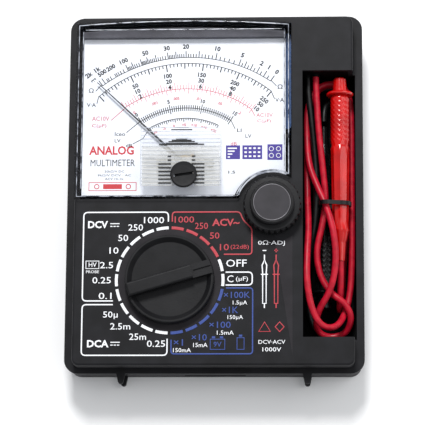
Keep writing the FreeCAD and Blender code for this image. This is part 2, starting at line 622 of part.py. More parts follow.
def zero_corrector():
    """Slotted screw in the window, with an off-centre pin that ends above the pointer's tail."""
    outline = [
        (0, GLASS_Z + 0.1), (CORRECTOR_R, GLASS_Z + 0.1), (CORRECTOR_R, GLASS_Z + 0.5),
        (CORRECTOR_R - 0.6, GLASS_Z + 0.9), (CORRECTOR_R - 1.6, GLASS_Z + 0.8), (0, GLASS_Z + 0.6),
    ]
    head = lathe(outline, CORRECTOR_X, CORRECTOR_Y)
    stem = post(CORRECTOR_X, CORRECTOR_Y, GLASS_Z - 2.4, GLASS_Z + 0.3, CORRECTOR_STEM_R)
    pin = post(CORRECTOR_X, CORRECTOR_Y + 1.6, POINTER_Z + 2.4, GLASS_Z - 2.0, 0.6)
    slot = box(
        CORRECTOR_X - 4.3, CORRECTOR_X + 4.3, CORRECTOR_Y - 0.6, CORRECTOR_Y + 0.6,
        GLASS_Z - 0.6, GLASS_Z + 2,
    )
    return head.fuse(stem).fuse(pin).cut(turned(slot, CORRECTOR_X, CORRECTOR_Y, 8))


# ---- board and its parts ---------------------------------------------------------------------
BOARD_X0 = INNER_X0 + 1.0
BOARD_X1 = BAY_LEFT - BAY_WALL - 1.0
BOARD_Y0 = INNER_Y0 + 1.0
BOARD_Y1 = PIVOT_Y - 17 - 2.5
BOARD_SCREWS = [
    (BOARD_X0 + 4, BOARD_Y1 - 5), (BOARD_X1 - 4, BOARD_Y1 - 22),
    (BOARD_X0 + 14, BOARD_Y0 + 4), (BOARD_X1 - 14, BOARD_Y0 + 4),
]
FUSE_X, FUSE_Y = BOARD_X1 - 27.9, BOARD_Y0 + 12.5
FUSE_R, FUSE_LENGTH = 2.5, 20.0
BUZZER_X, BUZZER_Y = BOARD_X0 + 11.5, BOARD_Y0 + 16.5
TRIMMERS = ((BOARD_X0 + 8.5, BOARD_Y0 + 45.5), (BOARD_X0 + 8.5, BOARD_Y0 + 33.5))
RESISTOR_X0, RESISTOR_Y0 = BOARD_X1 - 29.9, BOARD_Y0 + 23.5


def circuit_board():
    board = box(BOARD_X0, BOARD_X1, BOARD_Y0, BOARD_Y1, BOARD_Z, BOARD_TOP)
    board = board.fuse(box(OHM_X - 9.5, BOARD_X1, BOARD_Y1 - 1, OHM_Y + 9.5, BOARD_Z, BOARD_TOP))
    for x, y in CASE_SCREWS:
        board = board.cut(post(x, y, 0, 40, BOSS_R + 0.4))
    for x, y in BOARD_SCREWS:
        board = board.cut(post(x, y, 0, 40, SCREW_R + 0.1))
    return board


def board_screws():
    screws = []
    for x, y in BOARD_SCREWS:
        head = post(x, y, BOARD_TOP, BOARD_TOP + 1.4, 2.4)
        screws.append(head.fuse(post(x, y, 8.0, BOARD_TOP + 0.5, SCREW_R - 0.3)))
    return screws


def along_x(x0, x1, y, z, radius):
    return Part.makeCylinder(radius, x1 - x0, V(x0, y, z), V(1, 0, 0))


def fuse_pieces():
    z = BOARD_TOP + 3.4
    x0, x1 = FUSE_X - FUSE_LENGTH / 2, FUSE_X + FUSE_LENGTH / 2
    glass = along_x(x0 + 5, x1 - 5, FUSE_Y, z, FUSE_R - 0.15)
    caps = [along_x(x0, x0 + 5, FUSE_Y, z, FUSE_R), along_x(x1 - 5, x1, FUSE_Y, z, FUSE_R)]
    clips = []
    for x in (x0 + 1, x1 - 4):
        clip = box(x, x + 3, FUSE_Y - 3.3, FUSE_Y + 3.3, BOARD_TOP, z + 1.2)
        clip = clip.cut(along_x(x - 1, x + 4, FUSE_Y, z, FUSE_R))
        clips.append(clip.cut(box(x - 1, x + 4, FUSE_Y - 1.6, FUSE_Y + 1.6, z, z + 4)))
    return glass, caps, clips


def resistors():
    bodies = []
    for column in range(4):
        for row in range(3):
            x = RESISTOR_X0 + 6.0 * column
            y0 = RESISTOR_Y0 + 12.0 * row
            body = Part.makeCylinder(1.1, 6.4, V(x, y0, BOARD_TOP + 1.1), V(0, 1, 0))
            bodies.append(body)
    return bodies


def trimmers():
    group = []
    for x, y in TRIMMERS:
        body = box(x - 3.2, x + 3.2, y - 3.2, y + 3.2, BOARD_TOP, BOARD_TOP + 3.0)
        body = body.fuse(post(x, y, BOARD_TOP + 2.5, BOARD_TOP + 3.8, 2.0))
        group.append(body.cut(box(x - 1.6, x + 1.6, y - 0.3, y + 0.3, BOARD_TOP + 3.3, 40)))
    return group


def buzzer():
    can = post(BUZZER_X, BUZZER_Y, BOARD_TOP, BOARD_TOP + 4.5, 7.0)
    return can.cut(post(BUZZER_X, BUZZER_Y, BOARD_TOP + 4.0, BOARD_TOP + 5, 1.2))


# ---- batteries -------------------------------------------------------------------------------
AA_X0 = INNER_X0 + 15.0
AA_PITCH = 2 * AA_R + 1.5
AA_Y = (INNER_Y1 - 16.3 - AA_PITCH, INNER_Y1 - 16.3)
AA_Z = REAR_FLOOR + 0.3 + AA_R
NINE_X0 = AA_X0 + AA_LENGTH + 4.3
NINE_Y0 = INNER_Y1 - 4.6 - NINE_L
COVER_X0, COVER_X1 = AA_X0 - 4, NINE_X0 + NINE_W + 1.4
COVER_Y0, COVER_Y1 = NINE_Y0 + 4.5, AA_Y[1] + AA_R + 5


def aa_cell(y):
    """One cell with its button; the two lie opposite ways round."""
    cell = along_x(AA_X0, AA_X0 + AA_LENGTH, y, AA_Z, AA_R)
    if y == AA_Y[0]:
        return cell.fuse(along_x(AA_X0 - 1, AA_X0 + 1, y, AA_Z, 2.7))
    return cell.fuse(along_x(AA_X0 + AA_LENGTH - 1, AA_X0 + AA_LENGTH + 1, y, AA_Z, 2.7))


def battery_contacts():
    """Plates and conical springs at both ends of the cells."""
    plates = []
    for index, y in enumerate(AA_Y):
        left, right = AA_X0 - 1.05, AA_X0 + AA_LENGTH + 0.05
        if index == 1:
            left, right = AA_X0 - 0.05, AA_X0 + AA_LENGTH + 1.05
        plates.append(box(left - 0.5, left, y - 5, y + 5, AA_Z - 5, AA_Z + 5))
        plates.append(box(right, right + 0.5, y - 5, y + 5, AA_Z - 5, AA_Z + 5))
    return plates


def battery_walls():
    """Walls of the battery bay, standing on the case floor."""
    x0, x1 = AA_X0 - 3.2, AA_X0 + AA_LENGTH + 2.4
    y0, y1 = AA_Y[0] - AA_R - 0.5, AA_Y[1] + AA_R + 0.5
    top = AA_Z + AA_R + 0.6
    outer = box(x0 - 1, x1 + 1, y0 - 1, y1 + 1, REAR_FLOOR + JOINT_GAP, top + 1)
    return outer.cut(box(x0, x1, y0, y1, -1, top))


def nine_volt_battery():
    y1 = NINE_Y0 + NINE_L
    z0 = REAR_FLOOR + JOINT_GAP
    body = rounded_box(NINE_X0, NINE_X0 + NINE_W, NINE_Y0 + 4, y1, z0, z0 + NINE_H, 1.5)
    return body


def nine_volt_snap():
    """Clip across the battery's end, with its two snaps."""
    z = REAR_FLOOR + JOINT_GAP + NINE_H / 2
    y = NINE_Y0 + 4 - JOINT_GAP
    body = box(NINE_X0 + 1, NINE_X0 + NINE_W - 1, y - 3.4, y - 1.6, z - 6, z + 6)
    for x in (NINE_X0 + 6.5, NINE_X0 + NINE_W - 6.5):
        stud = Part.makeCylinder(2.8, 1.7, V(x, y - 1.7, z), V(0, 1, 0))
        body = body.fuse(stud)
    return body


# ---- probes ----------------------------------------------------------------------------------
def probe(place, lead_way):
    """Grip, collar, sleeve and needle along Y; lead_way is -1 where the lead leaves to -Y."""
    x, y, z = place
    way = lead_way

    def along(points):
        return lathe_along_y([(r, y + way * d) for r, d in points], x, z)

    half = COLLAR_THICK / 2
    grip_end = half + GRIP_LENGTH
    barrel_end = grip_end + BARREL_LENGTH - half
    handle = along([
        (0, half - 0.6), (PROBE_R - 0.5, half - 0.6), (PROBE_R - 0.1, half + 3), (PROBE_R, half + 8),
        (PROBE_R - 0.1, grip_end), (PROBE_R - 0.25, grip_end + 0.4), (PROBE_R, grip_end + 2),
        (PROBE_R, barrel_end - 3), (PROBE_R - 0.5, barrel_end), (0, barrel_end),
    ])
    collar = along([
        (0, -half), (COLLAR_R - 0.5, -half), (COLLAR_R, -half + 0.5), (COLLAR_R, half - 0.9),
        (COLLAR_R - 0.3, half - 0.6), (0, half - 0.6),
    ])
    sleeve = along([
        (0.95, -half), (SLEEVE_R + 0.1, -half), (SLEEVE_R - 0.2, -half - SLEEVE_LENGTH + 0.6),
        (SLEEVE_R - 0.7, -half - SLEEVE_LENGTH), (0.95, -half - SLEEVE_LENGTH),
    ])
    needle = along([
        (0, -half), (0.9, -half), (0.9, -half - SLEEVE_LENGTH + 1.4), (0, -half - SLEEVE_LENGTH),
    ])
    relief = along([
        (0, barrel_end), (PROBE_R - 0.8, barrel_end), (LEAD_R + 0.9, barrel_end + 4),
        (LEAD_R + 0.35, barrel_end + TAPER_LENGTH), (0, barrel_end + TAPER_LENGTH),
    ])
    return handle, collar, sleeve, needle, relief


def gland(x, z):
    """Grommet in the bay's top wall, where a lead comes through."""
    outline = [
        (0, BAY_TOP + BAY_WALL + 1.2), (GLAND_R - JOINT_GAP, BAY_TOP + BAY_WALL + 1.2),
        (GLAND_R - JOINT_GAP, BAY_TOP), (GLAND_R - 0.3, BAY_TOP - GLAND_STANDS),
        (0, BAY_TOP - GLAND_STANDS),
    ]
    return lathe_along_y(outline, x, z)


TIE_Y = -6.0
TIE_THICK = 0.5
TIE_WIDTH = 1.8
TIE_STRAND_R = 2.3          # room round each strand the tie holds
TIE_GAP = 0.15


def lead_tie():
    """Flat twist tie round the red probe and the two strands beside it."""
    x, z = RED_PROBE[0], RED_PROBE[2]
    low_x, low_z = x - 5.8, z - 1.7
    top_x, top_z = x - 6.2, z + 3.4

    def loop(grow, length):
        """Taut outline round the three, enlarged by grow and of this length along Y."""
        y = TIE_Y - length / 2
        strand_r, probe_r = TIE_STRAND_R + grow, PROBE_R + grow
        corners = [
            V(low_x, y, low_z - strand_r), V(x, y, z - probe_r), V(x, y, z + probe_r),
            V(top_x, y, top_z + strand_r), V(top_x - strand_r, y, top_z),
            V(low_x - strand_r, y, low_z),
        ]
        middle = Part.Face(Part.makePolygon(corners + corners[:1])).extrude(V(0, length, 0))
        rounds = [
            Part.makeCylinder(r, length, V(cx, y, cz), V(0, 1, 0))
            for cx, cz, r in ((x, z, probe_r), (low_x, low_z, strand_r), (top_x, top_z, strand_r))
        ]
        return middle.fuse(rounds)

    return loop(TIE_GAP + TIE_THICK, TIE_WIDTH).cut(loop(TIE_GAP, TIE_WIDTH + 2))


def main():
    save("front_case", front_case())
    save("rear_case", rear_case())
    save("battery_cover", battery_cover())
    save("lead_bay", lead_bay())
    save("case_screws", *case_screws())
    save("meter_window", meter_window())
    save("scale_plate", scale_plate())
    save("movement_frame", movement_frame())
    save("movement_magnet", movement_magnet())
    save("movement_core", movement_core())
    save("moving_coil", moving_coil())
    save("coil_staff", coil_staff())
    save("pointer", pointer())
    save("balance_weights", *balance_weights())
    save("hairspring", hairspring())
    save("upper_bridge", upper_bridge())
    save("zero_corrector", zero_corrector())
    save("range_knob", range_knob())
    save("switch_rotor", switch_rotor())
    save("switch_brushes", *switch_brushes())
    save("switch_tracks", *switch_tracks())
    save("detent_ring", detent_ring())
    save("detent_ball", detent_ball())
    save("zero_ohm_knob", zero_ohm_knob())
    save("zero_ohm_pot", zero_ohm_pot())
    save("circuit_board", circuit_board())
    save("board_screws", *board_screws())
    glass, caps, clips = fuse_pieces()
    save("fuse_glass", glass)
    save("fuse_caps", *caps)
    save("fuse_clips", *clips)
    save("resistors", *resistors())
    save("trimmers", *trimmers())
    save("buzzer", buzzer())
    save("aa_cell_lower", aa_cell(AA_Y[0]))
    save("aa_cell_upper", aa_cell(AA_Y[1]))
    save("battery_contacts", *battery_contacts())
    save("battery_walls", battery_walls())
    save("nine_volt_battery", nine_volt_battery())
    save("nine_volt_snap", nine_volt_snap())
    for colour, place, lead_way in (("red", RED_PROBE, -1), ("black", BLACK_PROBE, 1)):
        handle, collar, sleeve, needle, relief = probe(place, lead_way)
        save(colour + "_probe_handle", handle)
        save(colour + "_probe_collar", collar)
        save(colour + "_probe_sleeve", sleeve)
        save(colour + "_probe_needle", needle)
        save(colour + "_probe_relief", relief)
    save("red_lead_gland", gland(*RED_EXIT))
    save("black_lead_gland", gland(*BLACK_EXIT))
    save("lead_tie", lead_tie())
    lead("red_lead", RED_ROUTE)
    lead("black_lead", BLACK_ROUTE)


main()
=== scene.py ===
"""Looks of a pocket analog multimeter: finishes, printing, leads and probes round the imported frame.

Lengths are metres in the row frame; sizes given in millimetres are multiplied by MM.
"""
import math

import bmesh
import bpy
from mathutils import Euler, Matrix, Vector


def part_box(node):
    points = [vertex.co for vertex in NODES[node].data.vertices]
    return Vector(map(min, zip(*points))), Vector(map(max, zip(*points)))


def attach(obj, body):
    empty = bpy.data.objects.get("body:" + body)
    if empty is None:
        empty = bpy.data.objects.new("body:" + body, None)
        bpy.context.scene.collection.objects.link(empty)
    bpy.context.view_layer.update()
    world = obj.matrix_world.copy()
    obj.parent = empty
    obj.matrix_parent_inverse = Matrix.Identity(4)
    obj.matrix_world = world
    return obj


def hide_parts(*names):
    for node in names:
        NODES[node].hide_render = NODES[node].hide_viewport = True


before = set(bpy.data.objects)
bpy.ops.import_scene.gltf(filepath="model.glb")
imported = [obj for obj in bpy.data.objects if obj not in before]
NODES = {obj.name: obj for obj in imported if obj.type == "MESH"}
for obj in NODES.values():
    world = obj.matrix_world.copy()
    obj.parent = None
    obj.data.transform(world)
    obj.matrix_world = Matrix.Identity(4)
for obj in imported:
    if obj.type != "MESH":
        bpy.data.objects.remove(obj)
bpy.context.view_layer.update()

MM = 0.001
INK = 0.06 * MM             # thickness of a printed layer


# ---- places, read from the frame ---------------------------------------------------------------
def middle(node):
    low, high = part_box(node)
    return (low + high) / 2


CASE_LOW, CASE_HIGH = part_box("front_case")
PANEL_Z = CASE_HIGH.z
WINDOW_LOW, WINDOW_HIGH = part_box("meter_window")
DIAL_LOW, DIAL_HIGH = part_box("scale_plate")
KNOB = middle("range_knob")
OHM_KNOB = middle("zero_ohm_knob")
CORRECTOR = middle("zero_corrector")


# ---- materials ---------------------------------------------------------------------------------
def shade(code):
    """Linear colour of an sRGB hex value."""
    parts = [int(code[i:i + 2], 16) / 255 for i in (0, 2, 4)]
    line = [c / 12.92 if c <= 0.04045 else ((c + 0.055) / 1.055) ** 2.4 for c in parts]
    return (*line, 1.0)


def add(tree, kind, inputs=None, **settings):
    """Add a node, set its settings, and give its inputs a value or a link."""
    node = tree.nodes.new("ShaderNode" + kind)
    for name, value in settings.items():
        setattr(node, name, value)
    for name, value in (inputs or {}).items():
        if isinstance(value, bpy.types.NodeSocket):
            tree.links.new(value, node.inputs[name])
        else:
            node.inputs[name].default_value = value
    return node


def start(name):
    """A new material with its shader, and the object's own coordinates."""
    material = bpy.data.materials.new(name)
    material.use_nodes = True
    tree = material.node_tree
    shader = tree.nodes["Principled BSDF"]
    place = add(tree, "TexCoord").outputs["Object"]
    return material, tree, shader, place


def grain(tree, place, size_mm, detail=3.0, rough=0.55):
    """Noise whose features are about size_mm across."""
    scale = 1 / (size_mm * MM)
    inputs = {"Vector": place, "Scale": scale, "Detail": detail, "Roughness": rough}
    return add(tree, "TexNoise", inputs).outputs["Fac"]


def two_tone(tree, shader, fac, light, dark, low=0.35, high=0.65):
    ramp = add(tree, "ValToRGB", {"Fac": fac})
    ramp.color_ramp.elements[0].position = low
    ramp.color_ramp.elements[1].position = high
    ramp.color_ramp.elements[0].color = shade(dark)
    ramp.color_ramp.elements[1].color = shade(light)
    tree.links.new(ramp.outputs["Color"], shader.inputs["Base Color"])


def rough_between(tree, shader, fac, low, high):
    inputs = {"Value": fac, "From Min": 0.3, "From Max": 0.7, "To Min": low, "To Max": high}
    spread = add(tree, "MapRange", inputs)
    tree.links.new(spread.outputs["Result"], shader.inputs["Roughness"])


def relief(tree, shader, height, depth_mm, strength=1.0):
    inputs = {"Height": height, "Distance": depth_mm * MM, "Strength": strength}
    bump = add(tree, "Bump", inputs)
    tree.links.new(bump.outputs["Normal"], shader.inputs["Normal"])


def plastic(name, light, dark, grain_mm, depth_mm, rough, coat=0.0, shine=0.5):
    """Moulded plastic: faint cloudy tone, and a fine eroded mould texture."""
    material, tree, shader, place = start(name)
    cloud = grain(tree, place, 9.0, 2.0)
    fine = grain(tree, place, grain_mm)
    two_tone(tree, shader, cloud, light, dark)
    rough_between(tree, shader, fine, rough - 0.06, rough + 0.08)
    relief(tree, shader, fine, depth_mm)
    shader.inputs["IOR"].default_value = 1.5
    shader.inputs["Specular IOR Level"].default_value = shine
    shader.inputs["Coat Weight"].default_value = coat
    shader.inputs["Coat Roughness"].default_value = 0.12
    return material


def metal(name, light, dark, grain_mm, rough):
    """Worked metal: a slightly uneven, fine-scratched surface."""
    material, tree, shader, place = start(name)
    stretch = add(tree, "Mapping", {"Vector": place, "Scale": (1.0, 0.15, 1.0)})
    streak = grain(tree, stretch.outputs["Vector"], grain_mm)
    two_tone(tree, shader, streak, light, dark)
    rough_between(tree, shader, streak, rough - 0.08, rough + 0.1)
    relief(tree, shader, streak, 0.02)
    shader.inputs["Metallic"].default_value = 1.0
    return material


def clear_polystyrene():
    """Clear moulded polystyrene: nearly invisible from above, bright and hard at its edges."""
    material, tree, shader, place = start("clear_polystyrene")
    haze = grain(tree, place, 14.0, 2.0)
    two_tone(tree, shader, haze, "31343c", "24272e")
    rough_between(tree, shader, haze, 0.03, 0.07)
    edge = add(tree, "LayerWeight", {"Blend": 0.35}).outputs["Facing"]
    limits = {"Value": edge, "From Min": 0.2, "From Max": 0.95, "To Min": 0.02, "To Max": 0.4}
    clear = add(tree, "MapRange", limits).outputs["Result"]
    tree.links.new(clear, shader.inputs["Alpha"])
    shader.inputs["IOR"].default_value = 1.59
    shader.inputs["Specular IOR Level"].default_value = 0.3
    return material


def rib_clear(name, light, dark, alpha):
    """The same clear plastic where ribs or frosting scatter the light: whiter and more solid."""
    material, tree, shader, place = start(name)
    haze = grain(tree, place, 6.0, 2.0)
    two_tone(tree, shader, haze, light, dark)
    rough_between(tree, shader, haze, 0.12, 0.2)
    shader.inputs["Alpha"].default_value = alpha
    return material


def edge_clear(name, light, dark, alpha):
    """Painted highlight for a moulded edge of clear plastic: an uneven bright line standing in for the
    light the edge gathers.
    """
    material, tree, shader, place = start(name)
    glint = grain(tree, place, 5.0, 2.0, 0.6)
    two_tone(tree, shader, glint, light, dark, 0.42, 0.58)
    rough_between(tree, shader, glint, 0.08, 0.2)
    shader.inputs["Alpha"].default_value = alpha
    return material


def printed_card():
    """Coated white card of the dial: cool white, soft sheen, faint paper fibre."""
    material, tree, shader, place = start("coated_dial_card")
    fibre = grain(tree, place, 0.6)
    two_tone(tree, shader, grain(tree, place, 25.0, 2.0), "f3f6fd", "e6ebf6")
    rough_between(tree, shader, fibre, 0.42, 0.55)
    relief(tree, shader, fibre, 0.004)
    return material


def ink(name, light, dark, rough=0.45):
    """Screen-printed ink: dense, with a slight mottle from the mesh of the screen."""
    material, tree, shader, place = start(name)
    mottle = grain(tree, place, 0.35)
    two_tone(tree, shader, mottle, light, dark)
    rough_between(tree, shader, mottle, rough - 0.05, rough + 0.08)
    relief(tree, shader, mottle, 0.004)
    return material


def soft_pvc(name, light, dark, rough):
    """Lead insulation: limp PVC with a satin bloom, faint drag lines and a little depth."""
    material, tree, shader, place = start(name)
    bloom = grain(tree, place, 3.0, 2.0)
    two_tone(tree, shader, bloom, light, dark)
    rough_between(tree, shader, bloom, rough - 0.05, rough + 0.1)
    relief(tree, shader, grain(tree, place, 0.5), 0.01)
    shader.inputs["Subsurface Weight"].default_value = 0.15
    shader.inputs["Subsurface Radius"].default_value = (0.0012, 0.0003, 0.0003)
    shader.inputs["Specular IOR Level"].default_value = 0.3
    return material


def winding_copper():
    """Enamelled copper wire laid in turns: orange-brown with one fine line for each turn."""
    material, tree, shader, place = start("enamelled_copper_winding")
    turns = {"Vector": place, "Scale": 1 / (2.5 * MM), "Distortion": 0.3}
    wave = add(tree, "TexWave", turns, bands_direction="Z").outputs["Fac"]
    two_tone(tree, shader, wave, "b8652e", "7a3b18")
    relief(tree, shader, wave, 0.08)
    shader.inputs["Metallic"].default_value = 0.85
    shader.inputs["Roughness"].default_value = 0.32
    return material


CASE_ABS = plastic("moulded_case_abs", "1d1d20", "161618", 0.35, 0.035, 0.5, shine=0.16)
KNOB_ABS = plastic("moulded_knob_abs", "19191b", "111113", 0.5, 0.045, 0.5, shine=0.2)
DISC_ABS = plastic("spun_knob_disc_abs", "38363a", "2f2e31", 0.5, 0.03, 0.42, shine=0.2)
LABEL_FILM = plastic("printed_label_film", "2c2a2d", "262427", 0.4, 0.015, 0.5, shine=0.12)
LIGHT_GREY_RIM = plastic("light_grey_rim_abs", "77747a", "4a484c", 1.0, 0.02, 0.35)
BAND_FILM = plastic("dark_grey_window_band", "4c4c54", "3c3c43", 0.6, 0.01, 0.4, shine=0.2)
# Painted shade: the bay's black plastic is made much darker and duller than the case's, for the shade
# deep in the pocket.
BAY_PAINTED_SHADE_ABS = plastic("bay_abs_painted_shade", "09090a", "050506", 0.4, 0.03, 0.6, shine=0.06)
WINDOW_CLEAR = clear_polystyrene()
RIB_CLEAR = rib_clear("ribbed_clear_polystyrene", "d3d7df", "b4bac6", 0.38)
FROST_CLEAR = rib_clear("frosted_polystyrene", "f8f7f1", "f0efe8", 0.34)
# Painted highlights: the light-and-dark glint lines drawn along the window's edges.
BEAD_PAINTED_GLINT = edge_clear("window_edge_painted_glint", "b9bec9", "3a3d45", 0.8)
# Painted highlight: the bright crescent drawn on the window's wall round its bite.
BITE_PAINTED_GLINT = edge_clear("window_bite_painted_glint", "e6eaf3", "a4a9b6", 0.85)
DIAL_CARD = printed_card()
INK_BLACK = ink("screen_ink_black", "0b0c10", "060709", 0.6)
INK_RED = ink("screen_ink_red", "cf2a33", "b5202a")
INK_FINE_RED = ink("screen_ink_scale_red", "cf6a72", "bb5a63")
INK_PANEL_RED = ink("screen_ink_panel_red", "bd3642", "a82c38")
INK_WHITE = ink("screen_ink_white", "f4f5f7", "e4e6ea")
INK_BLUE = ink("screen_ink_blue", "2f4a97", "263e84")
INK_PURPLE = ink("screen_ink_purple", "3a2596", "2c1a80")
RED_PVC = soft_pvc("limp_red_pvc", "bb0f2a", "a20b23", 0.38)
BLACK_PVC = soft_pvc("limp_black_pvc", "0b0b0c", "060607", 0.4)
RED_PP = plastic("gloss_red_polypropylene", "c40a08", "aa0706", 1.2, 0.01, 0.2, 0.25, 0.4)
BLACK_PP = plastic("gloss_black_polypropylene", "0c0c0d", "070708", 1.2, 0.01, 0.25, 0.2, 0.2)
TIE_BLACK = plastic("black_pvc_coated_tie", "0d0d0e", "070708", 0.4, 0.02, 0.34, 0.1, 0.2)
STEEL = metal("zinc_plated_steel", "c3c6ca", "a4a8ad", 0.25, 0.32)
IRON = metal("soft_iron", "6d6f73", "535559", 0.5, 0.45)
ALUMINIUM = metal("drawn_aluminium", "d3d5d8", "b9bcc0", 0.3, 0.35)
BRASS = metal("stamped_brass", "d0a85a", "b48c42", 0.3, 0.3)
COPPER_WIRE = winding_copper()
POINTER_BLACK = plastic("black_painted_aluminium", "17181c", "0d0d10", 0.3, 0.01, 0.5)
BOARD = plastic("phenolic_paper_board", "a8753c", "8e5f2c", 0.8, 0.02, 0.5)
RESISTOR_TAN = plastic("resistor_lacquer", "d3b48a", "bf9d70", 0.3, 0.02, 0.42)
INNER_GREY = plastic("moulded_inner_nylon", "55565a", "47484c", 0.5, 0.02, 0.5)
CELL_WRAP = plastic("printed_cell_wrap", "2f5f9e", "24508a", 1.5, 0.01, 0.28, 0.4)
FUSE_GLASS = clear_polystyrene()     # a glass tube, drawn with the window's clear finish

FINISHES = {
    CASE_ABS: ("front_case", "rear_case", "battery_cover"),
    BAY_PAINTED_SHADE_ABS: ("lead_bay", "red_lead_gland", "black_lead_gland"),
    KNOB_ABS: ("range_knob", "zero_ohm_knob", "zero_corrector"),
    WINDOW_CLEAR: ("meter_window",),
    FUSE_GLASS: ("fuse_glass",),
    DIAL_CARD: ("scale_plate",),
    POINTER_BLACK: ("pointer",),
    STEEL: ("case_screws", "board_screws", "coil_staff", "detent_ball", "battery_contacts",
            "red_probe_needle", "black_probe_needle", "fuse_caps"),
    IRON: ("movement_frame", "movement_magnet", "movement_core"),
    ALUMINIUM: ("upper_bridge",),
    BRASS: ("switch_brushes", "switch_tracks", "fuse_clips", "balance_weights", "hairspring"),
    COPPER_WIRE: ("moving_coil",),
    BOARD: ("circuit_board",),
    RESISTOR_TAN: ("resistors",),
    INNER_GREY: ("switch_rotor", "detent_ring", "zero_ohm_pot", "trimmers", "buzzer",
                 "battery_walls", "nine_volt_snap"),
    CELL_WRAP: ("aa_cell_lower", "aa_cell_upper", "nine_volt_battery"),
    TIE_BLACK: ("lead_tie",),
    RED_PP: ("red_probe_collar", "red_probe_sleeve", "red_probe_relief"),
    BLACK_PP: ("black_probe_collar", "black_probe_sleeve", "black_probe_relief"),
}


def finish_nodes():
    for material, names in FINISHES.items():
        for name in names:
            for holder in NODES[name].material_slots:
                holder.material = material


# ---- making pieces -----------------------------------------------------------------------------
def piece(bm, name, material, body="case", smooth_degrees=35):
    """Turn a bmesh into a finished piece that rides on a body."""
    bmesh.ops.remove_doubles(bm, verts=bm.verts, dist=1e-7)
    bmesh.ops.recalc_face_normals(bm, faces=bm.faces)
    mesh = bpy.data.meshes.new(name)
    bm.to_mesh(mesh)
    bm.free()
    mesh.materials.append(material)
    mesh.shade_smooth()
    mesh.set_sharp_from_angle(angle=math.radians(smooth_degrees))
    obj = bpy.data.objects.new(name, mesh)
    bpy.context.scene.collection.objects.link(obj)
    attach(obj, body)
    return obj


def take_in(bm, mesh, matrix):
    """Add a mesh to a bmesh, placed by a matrix."""
    mesh.transform(matrix)
    bm.from_mesh(mesh)
    bpy.data.meshes.remove(mesh)


def mesh_of(curve):
    """The mesh of a curve or text, which is then removed."""
    holder = bpy.data.objects.new("outline", curve)
    mesh = bpy.data.meshes.new_from_object(holder)
    bpy.data.objects.remove(holder)
    return mesh


def letters(bm, text, x, y, z, width, height, turn=0.0, bold=0.004):
    """Flat printed characters, middle at x, y, in millimetres; no width keeps their own."""
    curve = bpy.data.curves.new("letters", "FONT")
    curve.body = text
    curve.resolution_u = 2
    curve.offset = bold
    curve.extrude = INK / 2
    mesh = mesh_of(curve)
    xs = [v.co.x for v in mesh.vertices]
    ys = [v.co.y for v in mesh.vertices]
    spread_x, spread_y = max(xs) - min(xs), max(ys) - min(ys)
    if width is None:
        width = height * spread_x / spread_y
    centre = Matrix.Translation((-(max(xs) + min(xs)) / 2, -(max(ys) + min(ys)) / 2, 0))
    fit = Matrix.Diagonal((width * MM / spread_x, height * MM / spread_y, 1, 1))
    place = Matrix.Translation((x * MM, y * MM, z))
    take_in(bm, mesh, place @ Matrix.Rotation(math.radians(turn), 4, "Z") @ fit @ centre)


def stroke(bm, points, z, width, closed=False):
    """A printed line of this width through points, all in millimetres."""
    curve = bpy.data.curves.new("stroke", "CURVE")
    curve.dimensions = "3D"
    curve.bevel_depth = width * MM / 2
    curve.bevel_resolution = 0
    curve.use_fill_caps = not closed
    line = curve.splines.new("POLY")
    line.points.add(len(points) - 1)
    for spot, (x, y) in zip(line.points, points):
        spot.co = (x * MM, y * MM, 0, 1)
    line.use_cyclic_u = closed
    flatten = Matrix.Diagonal((1, 1, INK / (width * MM), 1))
    take_in(bm, mesh_of(curve), Matrix.Translation((0, 0, z)) @ flatten)


def bar(bm, x0, y0, x1, y1, z, width):
    """A short printed tick from one point to another, in millimetres."""
    length = math.hypot(x1 - x0, y1 - y0)
    turn = Matrix.Rotation(math.atan2(y1 - y0, x1 - x0), 4, "Z")
    place = Matrix.Translation(((x0 + x1) / 2 * MM, (y0 + y1) / 2 * MM, z))
    size = Matrix.Diagonal((length * MM, width * MM, INK, 1))
    bmesh.ops.create_cube(bm, size=1, matrix=place @ turn @ size)


def arc(x, y, radius, start_degrees, end_degrees, steps=24):
    """Points on an arc; degrees are clockwise from straight up."""
    span = end_degrees - start_degrees
    turns = [math.radians(start_degrees + span * i / steps) for i in range(steps + 1)]
    return [(x + radius * math.sin(t), y + radius * math.cos(t)) for t in turns]


def rounded(points, radius, steps=5):
    """The same path with its inner corners rounded."""
    path = [points[0]]
    for before, corner, after in zip(points, points[1:], points[2:]):
        here = Vector(corner)
        into, out = (here - Vector(before)).normalized(), (Vector(after) - here).normalized()
        cut_in, cut_out = here - into * radius, here + out * radius
        for i in range(steps + 1):
            t = i / steps
            path.append(tuple(cut_in * (1 - t) ** 2 + here * 2 * t * (1 - t) + cut_out * t ** 2))
    path.append(points[-1])
    return path


